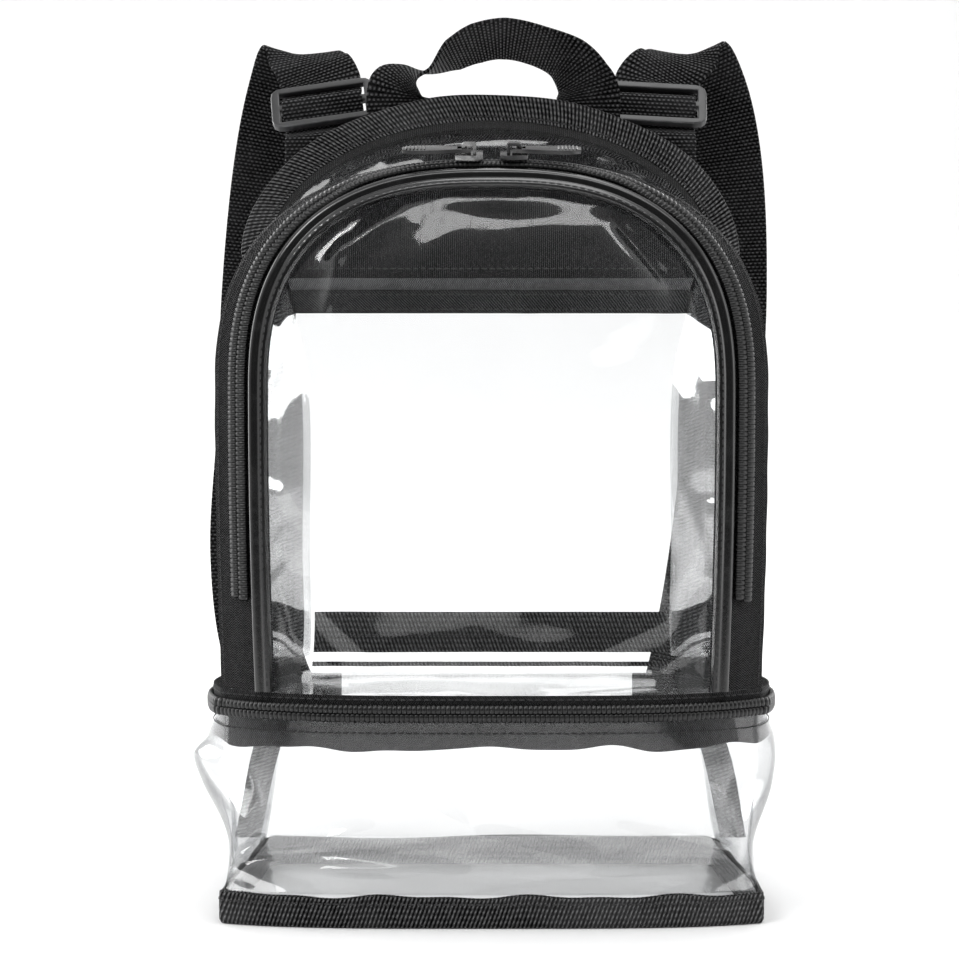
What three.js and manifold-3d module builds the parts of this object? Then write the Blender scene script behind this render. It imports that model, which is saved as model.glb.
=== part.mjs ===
// A small clear backpack with a zipped front door and a zipped lower compartment.
// Millimetres, +Z up, front towards -Y. The origin is at the middle of the floor that it stands on.
import * as THREE from 'three';
import Module from 'manifold-3d';
import { mergeVertices } from 'three/addons/utils/BufferGeometryUtils.js';

const wasm = await Module();
wasm.setup();

// Driving sizes of the bag
const BACK_HEIGHT = 305;
const BACK_SHOULDER_HALF = 98;
const BACK_SHOULDER_HEIGHT = 242;
const BASE_FLARE = 6.5;
const WAIST_HALF = 85;
const BAG_DEPTH = 127;
const FRONT_HEIGHT = 271.5;
const FRONT_HALF = 98.2;
const FRONT_SHOULDER_HEIGHT = 190;
const FRONT_FOOT_HALF = 95.5;
const FRONT_LEAN = 7;
const FRONT_CROWN = 21;
const TOP_ROLL = 9;
const TOP_SQUEEZE = 0.3;
const BASE_CROWN = 9;
const FRONT_ROUNDNESS = 2.6;
const ZIP_HEIGHT = 77;
const ZIP_FLARE = 11;
const FLARE_REACH = 14;
const LOWER_BULGE = 14;
const PINCH_DEPTH = 9;
const GUSSET_SWELL = 2;

// Sheets, webbing and the clearance between neighbours
const CLEARANCE = 0.3;
const LAP_CLEARANCE = 0.7;
const VINYL = 1;
const FABRIC = 1;
const TAPE = 0.8;
const BINDING_WALL = 1;
const BINDING_WIDTH = 10.5;
const BASE_BINDING_HEIGHT = 11;

// Main zip and door
const COIL_WIDTH = 6.6;
const COIL_HEIGHT = 2.4;
const COIL_INSET = 5.8;
const PIPING_WIDTH = 6.2;
const PIPING_HEIGHT = 2.8;
const DOOR_LAP = 3.5;
const COIL_END_HEIGHT = 117;

// Lower zip
const LOWER_TAPE_DROP = 13;
const UPPER_TAPE_RISE = 3;

// Back panel
const YOKE_BOTTOM = 219;
const YOKE_TAPE_HEIGHT = 4.5;
const YOKE_TAPE_ABOVE = 9;
const LOWER_BAND_TOP = 101;
const LOWER_BAND_HEIGHT = 16;

// Webbing handle and shoulder straps
const HANDLE_WIDTH = 25;
const HANDLE_RISE = 23;
const HANDLE_CLEAR = 4;
const HANDLE_HALF_SPAN = 37;
const WEBBING = 1.5;
const STRAP_WIDTH = 32;
const STRAP_ROOT = 65;
const STRAP_SPREAD = 94;
const STRAP_REACH = 46;
const STRAP_END_HEIGHT = 76;
const BUCKLE_WIDTH = 41;
const BUCKLE_LENGTH = 24;
const BUCKLE_THICKNESS = 3;
const BUCKLE_BAR = 3.2;
const BUCKLE_CORNER = 5;
const BUCKLE_TILT = 46;
const BUCKLE_FROM_SEAM = 19;
const SEWN_LENGTH = 16;

// Sliders and pull tabs
const SLIDER_LENGTH = 10;
const SLIDER_WIDTH = 8;
const SLIDER_PLATE = 1.8;
const SLIDER_SPACING = 16;
const BRIDGE_WIDTH = 2.4;
const BRIDGE_WALL = 1.2;
const BRIDGE_EYE = 2.8;
const TAB_LENGTH = 24;
const TAB_WIDTH = 7;
const TAB_THICKNESS = 1.5;

const FRONT_Y = -BAG_DEPTH / 2;
const BACK_Y = BAG_DEPTH / 2;
const BASE_HALF = FRONT_FOOT_HALF + BASE_FLARE;
const CURVE_STEPS = 44;
const SIDE_STEPS = 11;
const WALL_FRONT_STEPS = 20;

const colours = {
  vinyl: new THREE.MeshStandardMaterial({ color: 0xe9edf0, roughness: 0.08, transparent: true, opacity: 0.3 }),
  webbing: new THREE.MeshStandardMaterial({ color: 0x161617, roughness: 0.85 }),
  fabric: new THREE.MeshStandardMaterial({ color: 0x121213, roughness: 0.9 }),
  tape: new THREE.MeshStandardMaterial({ color: 0x1c1c1e, roughness: 0.8 }),
  coil: new THREE.MeshStandardMaterial({ color: 0x0d0d0e, roughness: 0.35 }),
  piping: new THREE.MeshStandardMaterial({ color: 0x0a0a0b, roughness: 0.2 }),
  buckle: new THREE.MeshStandardMaterial({ color: 0x252527, roughness: 0.45 }),
  slider: new THREE.MeshStandardMaterial({ color: 0x2b2b2d, roughness: 0.3, metalness: 0.8 }),
};

// Half width of the back panel, as shares of the named half widths and of the shoulder height
const backProfile = [
  { height: 0, base: 1, waist: 0, shoulder: 0 },
  { height: 0.12, base: 0.66, waist: 0.34, shoulder: 0 },
  { height: 0.3, base: 0.03, waist: 0.97, shoulder: 0 },
  { height: 0.5, base: 0, waist: 1, shoulder: 0 },
  { height: 0.78, base: 0, waist: 0.97, shoulder: 0.03 },
  { height: 0.92, base: 0, waist: 0.45, shoulder: 0.55 },
  { height: 1, base: 0, waist: 0, shoulder: 1 },
];

// Swell and pinch of the lower compartment, as shares of its height and of the named depths
const lowerProfile = [
  { height: 0, bulge: 0, pinch: 0, flare: 0 },
  { height: 0.25, bulge: 0.2, pinch: 1, flare: 0 },
  { height: 0.55, bulge: 0.75, pinch: 0.35, flare: 0.15 },
  { height: 0.8, bulge: 1, pinch: 0, flare: 0.2 },
  { height: 1, bulge: 0, pinch: 0, flare: 1 },
];

// Outward tilt in degrees of the strap and its buckle on each side
const strapSides = [
  { name: 'left', side: -1, tilt: 8 },
  { name: 'right', side: 1, tilt: 3 },
];

// Route of each shoulder strap behind the bag, from the buckle down to its sewn end.
// Left and right are shares of the spread, back of the reach and up of the back's height.
const strapRoute = [
  { left: 0.775, right: 0.795, back: 0.78, up: 1.05, turn: 2 },
  { left: 0.83, right: 0.87, back: 0.96, up: 1.062, turn: 5 },
  { left: 0.885, right: 0.95, back: 1.08, up: 1.02, turn: 10 },
  { left: 0.95, right: 1.02, back: 1.14, up: 0.93, turn: 16 },
  { left: 1.01, right: 1.05, back: 1.12, up: 0.76, turn: 20 },
  { left: 1.03, right: 1.01, back: 0.98, up: 0.56, turn: 17 },
  { left: 1.05, right: 0.95, back: 0.8, up: 0.4, turn: 12 },
  { left: 1.0, right: 0.88, back: 0.64, up: 0.28, turn: 6 },
  { left: 0.89, right: 0.81, back: 0.44, up: 0.2, turn: 2 },
  { left: 0.8, right: 0.77, back: 0.22, up: 0.18, turn: 0 },
];

// Route of the grab handle between its sewn ends, as shares of its half span and rise.
// The last three columns point along the webbing's width. It turns half over on its way.
const handleRoute = [
  { across: -0.97, up: 0.12, inX: 1, inY: 0, inZ: 0 },
  { across: -0.86, up: 0.34, inX: 0.62, inY: -0.75, inZ: -0.15 },
  { across: -0.64, up: 0.44, inX: 0.05, inY: -1, inZ: 0 },
  { across: -0.4, up: 0.7, inX: -0.25, inY: -0.9, inZ: 0.32 },
  { across: -0.15, up: 0.9, inX: -0.22, inY: -0.84, inZ: 0.48 },
  { across: 0.15, up: 0.98, inX: 0, inY: -0.83, inZ: 0.55 },
  { across: 0.52, up: 0.85, inX: 0.25, inY: -0.82, inZ: 0.48 },
  { across: 0.82, up: 0.62, inX: 0.66, inY: -0.66, inZ: 0.3 },
  { across: 0.98, up: 0.3, inX: 0.85, inY: -0.5, inZ: 0.1 },
  { across: 1.04, up: 0, inX: 1, inY: 0, inZ: 0 },
];

const lerp = THREE.MathUtils.lerp;
const radians = THREE.MathUtils.degToRad;
const point = (x, y, z) => new THREE.Vector3(x, y, z);

// Smooth value of a table column at a share of its first column's range
function along(table, key, column, share) {
  let row = 0;
  while (row < table.length - 2 && share > table[row + 1][key]) {
    row += 1;
  }
  const from = table[row];
  const to = table[row + 1];
  const before = table[Math.max(row - 1, 0)];
  const after = table[Math.min(row + 2, table.length - 1)];
  const span = to[key] - from[key];
  const local = THREE.MathUtils.clamp((share - from[key]) / span, 0, 1);
  const slopeFrom = ((to[column] - before[column]) / (to[key] - before[key])) * span;
  const slopeTo = ((after[column] - from[column]) / (after[key] - from[key])) * span;
  const square = local * local;
  const cube = square * local;
  return (2 * cube - 3 * square + 1) * from[column] + (cube - 2 * square + local) * slopeFrom
    + (-2 * cube + 3 * square) * to[column] + (cube - square) * slopeTo;
}

// Closed body between two matching rows of points in each section, looped or with two ends
function skin(sections, looped = false) {
  const positions = [];
  const ring = sections[0].outer.length;
  sections.forEach(({ outer, inner }) => {
    outer.forEach((p) => positions.push(p.x, p.y, p.z));
    [...inner].reverse().forEach((p) => positions.push(p.x, p.y, p.z));
  });
  const size = 2 * ring;
  const indices = [];
  const quad = (a, b, c, d) => indices.push(a, b, c, a, c, d);
  const last = looped ? sections.length : sections.length - 1;
  for (let i = 0; i < last; i += 1) {
    const next = (i + 1) % sections.length;
    for (let j = 0; j < size; j += 1) {
      const side = (j + 1) % size;
      quad(i * size + j, next * size + j, next * size + side, i * size + side);
    }
  }
  if (!looped) {
    const end = (sections.length - 1) * size;
    for (let j = 0; j < ring - 1; j += 1) {
      quad(j, j + 1, size - 2 - j, size - 1 - j);
      quad(end + j, end + size - 1 - j, end + size - 2 - j, end + j + 1);
    }
  }
  const geometry = new THREE.BufferGeometry();
  geometry.setAttribute('position', new THREE.Float32BufferAttribute(positions, 3));
  geometry.setIndex(indices);
  return facingOut(geometry);
}

// Turns the triangles round if the body's volume comes out negative
function facingOut(geometry) {
  const position = geometry.getAttribute('position');
  const index = geometry.getIndex().array;
  const [a, b, c] = [point(0, 0, 0), point(0, 0, 0), point(0, 0, 0)];
  let volume = 0;
  for (let i = 0; i < index.length; i += 3) {
    a.fromBufferAttribute(position, index[i]);
    b.fromBufferAttribute(position, index[i + 1]);
    c.fromBufferAttribute(position, index[i + 2]);
    volume += a.dot(b.cross(c));
  }
  if (volume < 0) {
    for (let i = 0; i < index.length; i += 3) {
      [index[i + 1], index[i + 2]] = [index[i + 2], index[i + 1]];
    }
  }
  geometry.computeVertexNormals();
  return geometry;
}

// Webbing swept through rows of centre points and width directions
function ribbon(rows, width, thickness, stepsPerRow = 3) {
  const centre = new THREE.CatmullRomCurve3(rows.map((row) => row.at), false, 'centripetal');
  const count = (rows.length - 1) * stepsPerRow;
  const sections = [];
  for (let i = 0; i <= count; i += 1) {
    const share = i / count;
    const place = share * (rows.length - 1);
    const row = Math.min(Math.floor(place), rows.length - 2);
    const at = centre.getPoint(share);
    const tangent = centre.getTangent(share);
    const across = rows[row].across.clone().lerp(rows[row + 1].across, place - row);
    across.addScaledVector(tangent, -across.dot(tangent)).normalize();
    const face = tangent.clone().cross(across).normalize();
    const corner = (side, level) => at.clone()
      .addScaledVector(across, side * width / 2)
      .addScaledVector(face, level * thickness / 2);
    sections.push({ outer: [corner(-1, 1), corner(1, 1)], inner: [corner(-1, -1), corner(1, -1)] });
  }
  return skin(sections);
}

// Outline of the back panel's edge
function backHalf(z) {
  if (z > BACK_SHOULDER_HEIGHT) {
    const share = Math.min((z - BACK_SHOULDER_HEIGHT) / (BACK_HEIGHT - BACK_SHOULDER_HEIGHT), 1);
    return BACK_SHOULDER_HALF * Math.sqrt(1 - share * share);
  }
  const share = Math.max(z - BASE_BINDING_HEIGHT, 0) / (BACK_SHOULDER_HEIGHT - BASE_BINDING_HEIGHT);
  return BASE_HALF * along(backProfile, 'height', 'base', share)
    + WAIST_HALF * along(backProfile, 'height', 'waist', share)
    + BACK_SHOULDER_HALF * along(backProfile, 'height', 'shoulder', share);
}

// Outline of the front's edge, where the outer zip tape ends
function frontHalf(z) {
  if (z > FRONT_SHOULDER_HEIGHT) {
    const share = Math.min((z - FRONT_SHOULDER_HEIGHT) / (FRONT_HEIGHT - FRONT_SHOULDER_HEIGHT), 1);
    return FRONT_HALF * (1 - share ** FRONT_ROUNDNESS) ** (1 / FRONT_ROUNDNESS);
  }
  const share = (FRONT_SHOULDER_HEIGHT - z) / (FRONT_SHOULDER_HEIGHT - ZIP_HEIGHT);
  return lerp(FRONT_HALF, FRONT_FOOT_HALF, Math.min(share, 1) ** 2);
}

// Arch of an outline from its lower left end over the top to its lower right end, shrunk by inset
const SIDE_SHARE = 0.3;
function archPoint(share, arch, inset = 0) {
  const mirrored = share > 0.5 ? 1 - share : share;
  const side = share > 0.5 ? 1 : -1;
  let x;
  let z;
  if (mirrored <= SIDE_SHARE) {
    z = lerp(arch.foot, arch.shoulder, mirrored / SIDE_SHARE);
    x = arch.half(z) - inset;
  } else {
    const angle = (mirrored - SIDE_SHARE) / (0.5 - SIDE_SHARE) * Math.PI / 2;
    const power = 2 / arch.roundness;
    x = (arch.half(arch.shoulder) - inset) * Math.cos(angle) ** power;
    z = arch.shoulder + (arch.top - arch.topInset(inset) - arch.shoulder) * Math.sin(angle) ** power;
  }
  return { x: side * x, z };
}

// The zip rolls over the front's top edge, so its bands are foreshortened there from the front
const rolledBand = COIL_INSET + COIL_WIDTH + LAP_CLEARANCE;
function topInset(inset) {
  return inset - (1 - TOP_SQUEEZE) * Math.min(inset, rolledBand);
}

const lowerSeam = ZIP_HEIGHT + COIL_WIDTH / 2 + UPPER_TAPE_RISE;
const frontArch = {
  foot: lowerSeam + CLEARANCE,
  shoulder: FRONT_SHOULDER_HEIGHT,
  top: FRONT_HEIGHT,
  half: frontHalf,
  roundness: FRONT_ROUNDNESS,
  topInset,
};
const backArch = {
  foot: BASE_BINDING_HEIGHT + CLEARANCE,
  shoulder: BACK_SHOULDER_HEIGHT,
  top: BACK_HEIGHT,
  half: backHalf,
  roundness: 2,
  topInset: (inset) => inset,
};

// How far a front point lies from the middle towards the outline, 0 to 1
function frontReach(x, z) {
  if (z <= FRONT_SHOULDER_HEIGHT) {
    return Math.abs(x) / frontHalf(z);
  }
  const up = (z - FRONT_SHOULDER_HEIGHT) / (FRONT_HEIGHT - FRONT_SHOULDER_HEIGHT);
  const out = Math.abs(x) / FRONT_HALF;
  return (up ** FRONT_ROUNDNESS + out ** FRONT_ROUNDNESS) ** (1 / FRONT_ROUNDNESS);
}

function frontDepth(x, z) {
  const lean = FRONT_LEAN * Math.max(z - ZIP_HEIGHT, 0) / (FRONT_HEIGHT - ZIP_HEIGHT);
  const reach = frontReach(x, z);
  const up = Math.max(z - FRONT_SHOULDER_HEIGHT, 0) / (FRONT_HEIGHT - FRONT_SHOULDER_HEIGHT);
  const topward = reach > 0 ? (up / reach) ** FRONT_ROUNDNESS : 0;
  const rollStart = 1 - topInset(rolledBand) / (FRONT_HEIGHT - FRONT_SHOULDER_HEIGHT);
  const rolled = THREE.MathUtils.clamp((reach - rollStart) / (1 - rollStart), 0, 1.2);
  const roll = TOP_ROLL * topward * rolled ** 1.5;
  return FRONT_Y + VINYL + PIPING_HEIGHT + lean + FRONT_CROWN * reach ** 4 + roll;
}

// Point of the crowned front, lifted along its outward direction
function frontPoint(x, z, lift) {
  const step = 0.5;
  const slopeX = (frontDepth(x + step, z) - frontDepth(x - step, z)) / (2 * step);
  const slopeZ = (frontDepth(x, z + step) - frontDepth(x, z - step)) / (2 * step);
  const outward = point(slopeX, -1, slopeZ).normalize();
  return point(x, frontDepth(x, z), z).addScaledVector(outward, lift);
}

// Strip on the front that follows its arch between two insets, flat or with a raised middle
const CROWN_DROP = 0.45;
const ARCH_TIP = 1;
function frontStrip(insetOut, insetIn, low, high, { from = 0, to = 1, crowned = false } = {}) {
  const columns = 2;
  const sections = [];
  for (let i = 0; i <= CURVE_STEPS; i += 1) {
    const share = lerp(from, to, i / CURVE_STEPS);
    const outer = [];
    const inner = [];
    for (let j = 0; j <= columns; j += 1) {
      const { x, z } = archPoint(share, frontArch, lerp(insetOut, insetIn, j / columns));
      const drop = crowned && j !== 1 ? CROWN_DROP * (high - low) : 0;
      outer.push(frontPoint(x, z, high - drop));
      inner.push(frontPoint(x, z, low));
    }
    sections.push({ outer, inner });
  }
  return skin(sections);
}

const tapeLow = VINYL + LAP_CLEARANCE;
const tapeHigh = tapeLow + TAPE;
const trimLow = tapeHigh + LAP_CLEARANCE;
const doorInset = rolledBand + PIPING_WIDTH - DOOR_LAP;

function mainZipTape(side) {
  const middle = COIL_INSET + COIL_WIDTH / 2;
  if (side === 'outer') {
    return frontStrip(0, middle - CLEARANCE, tapeLow, tapeHigh);
  }
  return frontStrip(middle + CLEARANCE, rolledBand + PIPING_WIDTH, tapeLow, tapeHigh);
}

function mainZipCoil() {
  const share = SIDE_SHARE * (COIL_END_HEIGHT - frontArch.foot) / (frontArch.shoulder - frontArch.foot);
  const run = { from: share, to: 1 - share, crowned: true };
  return frontStrip(COIL_INSET, COIL_INSET + COIL_WIDTH, trimLow, trimLow + COIL_HEIGHT, run);
}

function doorPiping() {
  const inner = rolledBand + PIPING_WIDTH;
  return frontStrip(rolledBand, inner, trimLow, trimLow + PIPING_HEIGHT, { crowned: true });
}

// Clear door under the inner zip tape, in rows from its foot to the crown of its arch
function frontDoor() {
  const rows = 14;
  const columns = 14;
  const sections = [];
  const top = FRONT_HEIGHT - topInset(doorInset) - ARCH_TIP;
  for (let i = 0; i <= rows; i += 1) {
    const rise = Math.sin(i / rows * Math.PI / 2);
    const z = lerp(frontArch.foot, top, rise);
    const half = insetHalf(z, doorInset);
    const outer = [];
    const inner = [];
    for (let j = 0; j <= columns; j += 1) {
      const x = lerp(-half, half, j / columns);
      outer.push(frontPoint(x, z, VINYL));
      inner.push(frontPoint(x, z, 0));
    }
    sections.push({ outer, inner });
  }
  return skin(sections);
}

// Half width of the front's arch shrunk by an inset
function insetHalf(z, inset) {
  if (z <= FRONT_SHOULDER_HEIGHT) {
    return frontHalf(z) - inset;
  }
  const share = (z - FRONT_SHOULDER_HEIGHT) / (FRONT_HEIGHT - topInset(inset) - FRONT_SHOULDER_HEIGHT);
  return (FRONT_HALF - inset) * (1 - share ** FRONT_ROUNDNESS) ** (1 / FRONT_ROUNDNESS);
}

const flangeY = BACK_Y - BINDING_WALL - CLEARANCE - VINYL - CLEARANCE;
const slotInset = BINDING_WALL + LAP_CLEARANCE;
const seamInset = BINDING_WIDTH + VINYL + 3 * LAP_CLEARANCE;

// Where the gusset runs at a share of the arch: under the zip tape, at the front's edge, at the seam
// with the back and at the rim of its seam allowance, with the direction in which it swells
const EDGE_INSET = 0.6;
function gussetCourse(share) {
  const upperBack = { ...backArch, foot: frontArch.foot };
  const lap = archPoint(share, frontArch, COIL_INSET + COIL_WIDTH / 2);
  return {
    lap,
    edge: archPoint(share, frontArch, EDGE_INSET),
    seam: archPoint(share, upperBack, seamInset),
    turned: archPoint(share, upperBack, seamInset - VINYL - LAP_CLEARANCE),
    rim: archPoint(share, upperBack, slotInset),
    out: point(lap.x, 0, Math.max(lap.z - FRONT_SHOULDER_HEIGHT, 0)).normalize(),
  };
}

// Clear strip between the front's edge and the back's seam, with a lap under the zip tape
function gusset() {
  const across = 5;
  const sections = [];
  for (let i = 0; i <= CURVE_STEPS; i += 1) {
    const { lap, edge, seam, out } = gussetCourse(i / CURVE_STEPS);
    const inner = [frontPoint(lap.x, lap.z, 0), frontPoint(edge.x, edge.z, 0)];
    const outer = [frontPoint(lap.x, lap.z, VINYL), frontPoint(edge.x, edge.z, VINYL)];
    const start = inner[1];
    const end = point(seam.x, flangeY, seam.z);
    const flare = ZIP_FLARE * Math.exp(-(start.z - frontArch.foot) / FLARE_REACH);
    for (let j = 1; j <= across; j += 1) {
      const back = j / across;
      const swell = Math.sin(Math.PI * back) * (flare + GUSSET_SWELL);
      const onWall = start.clone().lerp(end, back).addScaledVector(out, swell);
      inner.push(onWall);
      outer.push(onWall.clone().addScaledVector(out, VINYL));
    }
    sections.push({ outer, inner });
  }
  return skin(sections);
}

// Seam allowance of the gusset, turned out flat inside the fold of the back binding
function gussetSeam() {
  const sections = [];
  for (let i = 0; i <= CURVE_STEPS; i += 1) {
    const { turned, rim } = gussetCourse(i / CURVE_STEPS);
    const row = (y) => [point(turned.x, y, turned.z), point(rim.x, y, rim.z)];
    sections.push({ outer: row(flangeY - VINYL), inner: row(flangeY) });
  }
  return skin(sections);
}

// Webbing folded over the back seam, open towards the bag, from the base up over the arch
function backBinding() {
  const steps = 60;
  const sections = [];
  const slotFront = flangeY - VINYL - CLEARANCE;
  for (let i = 0; i <= steps; i += 1) {
    const rim = archPoint(i / steps, backArch, 0);
    const wall = archPoint(i / steps, backArch, BINDING_WALL);
    const lip = archPoint(i / steps, backArch, BINDING_WIDTH);
    sections.push({
      outer: [
        point(lip.x, slotFront - BINDING_WALL, lip.z),
        point(rim.x, slotFront - BINDING_WALL, rim.z),
        point(rim.x, BACK_Y, rim.z),
        point(lip.x, BACK_Y, lip.z),
      ],
      inner: [
        point(lip.x, slotFront, lip.z),
        point(wall.x, slotFront, wall.z),
        point(wall.x, BACK_Y - BINDING_WALL, wall.z),
        point(lip.x, BACK_Y - BINDING_WALL, lip.z),
      ],
    });
  }
  return skin(sections);
}

// Flat sheet of the back between two heights, with its edges in the binding
function backSheet(low, high, near, thickness, rows, inset) {
  const sections = [];
  const columns = 2;
  for (let i = 0; i <= rows; i += 1) {
    const z = lerp(low, high, Math.sin(i / rows * Math.PI / 2));
    const half = backInsetHalf(z, inset);
    const outer = [];
    const inner = [];
    for (let j = 0; j <= columns; j += 1) {
      const x = lerp(-half, half, j / columns);
      outer.push(point(x, near + thickness, z));
      inner.push(point(x, near, z));
    }
    sections.push({ outer, inner });
  }
  return skin(sections);
}

function backInsetHalf(z, inset) {
  if (z <= BACK_SHOULDER_HEIGHT) {
    return backHalf(z) - inset;
  }
  const share = (z - BACK_SHOULDER_HEIGHT) / (BACK_HEIGHT - inset - BACK_SHOULDER_HEIGHT);
  return (BACK_SHOULDER_HALF - inset) * Math.sqrt(Math.max(1 - share * share, 0));
}

const PANEL_ROWS = 18;
const YOKE_ROWS = 12;
const backSheetY = flangeY + CLEARANCE;
const onBack = BACK_Y + LAP_CLEARANCE + WEBBING / 2;

// Height of the back arch's edge at a distance from the middle
function archTop(x) {
  const share = x / BACK_SHOULDER_HALF;
  return BACK_SHOULDER_HEIGHT + (BACK_HEIGHT - BACK_SHOULDER_HEIGHT) * Math.sqrt(1 - share * share);
}

function backPanel() {
  return backSheet(backArch.foot, YOKE_BOTTOM - CLEARANCE, backSheetY, VINYL, PANEL_ROWS, slotInset);
}

function backYoke() {
  return backSheet(YOKE_BOTTOM, BACK_HEIGHT - slotInset - ARCH_TIP, backSheetY, FABRIC, YOKE_ROWS, slotInset);
}

// Level strip sewn across the inside of the back
function backStrip(low, height, layer, thickness) {
  const near = layer - thickness;
  return backSheet(low, low + height, near, thickness, 2, seamInset + VINYL + CLEARANCE);
}

// Plan of the lower compartment, from its left back seam round the front to its right one.
// Wall shares 0 to 0.3 and 0.7 to 1 run along the sides. The pinch is deepest near the front corners.
const PLAN_SIDE = 0.3;
const PINCH_REACH = 0.86;
const PINCH_SPREAD = 0.22;
const SIDE_PINCH = 0.35;
const lowerWallTop = ZIP_HEIGHT - COIL_WIDTH / 2;
function planPoint(share, z, lift) {
  const height = THREE.MathUtils.clamp(
    (z - BASE_BINDING_HEIGHT) / (lowerWallTop - BASE_BINDING_HEIGHT), 0, 1);
  const bulge = LOWER_BULGE * along(lowerProfile, 'height', 'bulge', height);
  const pinch = PINCH_DEPTH * along(lowerProfile, 'height', 'pinch', height);
  const flare = ZIP_FLARE * along(lowerProfile, 'height', 'flare', height);
  const crown = lerp(BASE_CROWN, FRONT_CROWN, height);
  const half = frontHalf(Math.max(z, ZIP_HEIGHT));
  const frontY = FRONT_Y + VINYL + PIPING_HEIGHT;
  const place = (at) => {
    const mirrored = at > 0.5 ? 1 - at : at;
    const side = at > 0.5 ? 1 : -1;
    if (mirrored >= PLAN_SIDE) {
      const reach = (0.5 - mirrored) / (0.5 - PLAN_SIDE);
      const near = pinch * Math.exp(-(((reach - PINCH_REACH) / PINCH_SPREAD) ** 2));
      return { x: side * half * reach, y: frontY + crown * reach ** 4 + near };
    }
    const back = 1 - mirrored / PLAN_SIDE;
    const seam = backInsetHalf(z, seamInset);
    const swell = Math.sin(Math.PI * back) * (bulge + flare) - SIDE_PINCH * pinch * (1 - back) ** 3;
    const ease = back * back * (3 - 2 * back);
    return {
      x: side * (lerp(half, seam, ease) + swell),
      y: lerp(frontY + crown, flangeY - VINYL - CLEARANCE - BINDING_WALL - CLEARANCE, back),
    };
  };
  const step = 0.004;
  const before = place(Math.max(share - step, 0));
  const after = place(Math.min(share + step, 1));
  const here = place(share);
  const onward = point(after.x - before.x, after.y - before.y, 0).normalize();
  return point(here.x + onward.y * lift, here.y - onward.x * lift, z);
}

// Shares of the plan at which the wall has its sections, corners among them
const planEnd = 0.012;
const planShares = [
  ...Array.from({ length: SIDE_STEPS }, (_, i) => lerp(planEnd, PLAN_SIDE, i / SIDE_STEPS)),
  ...Array.from({ length: WALL_FRONT_STEPS }, (_, i) => lerp(PLAN_SIDE, 1 - PLAN_SIDE, i / WALL_FRONT_STEPS)),
  ...Array.from({ length: SIDE_STEPS + 1 }, (_, i) => lerp(1 - PLAN_SIDE, 1 - planEnd, i / SIDE_STEPS)),
];

// Upright strip round the front and sides, given by its heights and its lifts from the plan
function wallStrip(heights, near, far, { crowned = false, flanged = false } = {}) {
  const sections = planShares.map((share) => ({
    outer: heights.map((z, j) => {
      const drop = crowned && j !== 1 ? CROWN_DROP * (far - near) : 0;
      return planPoint(share, z, far - drop);
    }),
    inner: heights.map((z) => planPoint(share, z, near)),
  }));
  if (flanged) {
    sections.unshift(wallFlange(heights, -1, slotInset, 0), wallFlange(heights, -1, seamInset, VINYL));
    sections.push(wallFlange(heights, 1, seamInset, VINYL), wallFlange(heights, 1, slotInset, 0));
  }
  return skin(sections);
}

// Seam allowance of the lower wall, flat inside the fold of the back binding
function wallFlange(heights, side, inset, corner) {
  const above = heights.map((z, j) => Math.max(z, backArch.foot + j * VINYL));
  const edge = (z, out) => side * (backInsetHalf(z, inset) + out);
  return {
    outer: above.map((z) => point(edge(z, corner), flangeY - VINYL, z)),
    inner: above.map((z) => point(edge(z, 0), flangeY, z)),
  };
}

const wallLow = BASE_BINDING_HEIGHT / 2;
const lowerTapeFar = -LAP_CLEARANCE;
const lowerTapeTop = ZIP_HEIGHT - CLEARANCE;
const lowerTapeLow = lowerTapeTop - LOWER_TAPE_DROP;
const lowerWallEnd = lowerWallTop - CLEARANCE;

function lowerWall() {
  const rows = 5;
  const heights = [wallLow];
  for (let i = 0; i <= rows; i += 1) {
    heights.push(lerp(backArch.foot, lowerTapeLow, i / rows));
  }
  heights.push(lowerWallEnd);
  return wallStrip(heights, 0, VINYL, { flanged: true });
}

function lowerZipUpperTape() {
  return wallStrip([ZIP_HEIGHT + CLEARANCE, lowerSeam], tapeLow, tapeHigh);
}

function lowerZipLowerTape() {
  return wallStrip([lowerTapeLow, lowerWallEnd, lowerTapeTop], lowerTapeFar - TAPE, lowerTapeFar);
}

function lowerZipCoil() {
  const half = COIL_WIDTH / 2;
  const heights = [ZIP_HEIGHT - half, ZIP_HEIGHT, ZIP_HEIGHT + half];
  return wallStrip(heights, trimLow, trimLow + COIL_HEIGHT, { crowned: true });
}

// Loop of webbing folded up round the base, standing on its fold
const BASE_BACK_STEPS = 4;
function baseLoop(index, lift) {
  if (index < planShares.length) {
    return planPoint(planShares[index], 0, lift);
  }
  const share = (index - planShares.length) / BASE_BACK_STEPS;
  const shrunk = backInsetHalf(0, seamInset) + lift;
  return point(lerp(shrunk, -shrunk, share), backSheetY + lift, 0);
}

function baseBinding() {
  const slotNear = -CLEARANCE;
  const slotFar = VINYL + CLEARANCE;
  const at = (index, lift, z) => baseLoop(index, lift).setZ(z);
  const sections = [];
  for (let i = 0; i <= planShares.length + BASE_BACK_STEPS; i += 1) {
    sections.push({
      outer: [
        at(i, slotFar + BINDING_WALL, BASE_BINDING_HEIGHT),
        at(i, slotFar + BINDING_WALL, 0),
        at(i, slotNear - BINDING_WALL, 0),
        at(i, slotNear - BINDING_WALL, BASE_BINDING_HEIGHT),
      ],
      inner: [
        at(i, slotFar, BASE_BINDING_HEIGHT),
        at(i, slotFar, BINDING_WALL),
        at(i, slotNear, BINDING_WALL),
        at(i, slotNear, BASE_BINDING_HEIGHT),
      ],
    });
  }
  return skin(sections, true);
}

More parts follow.
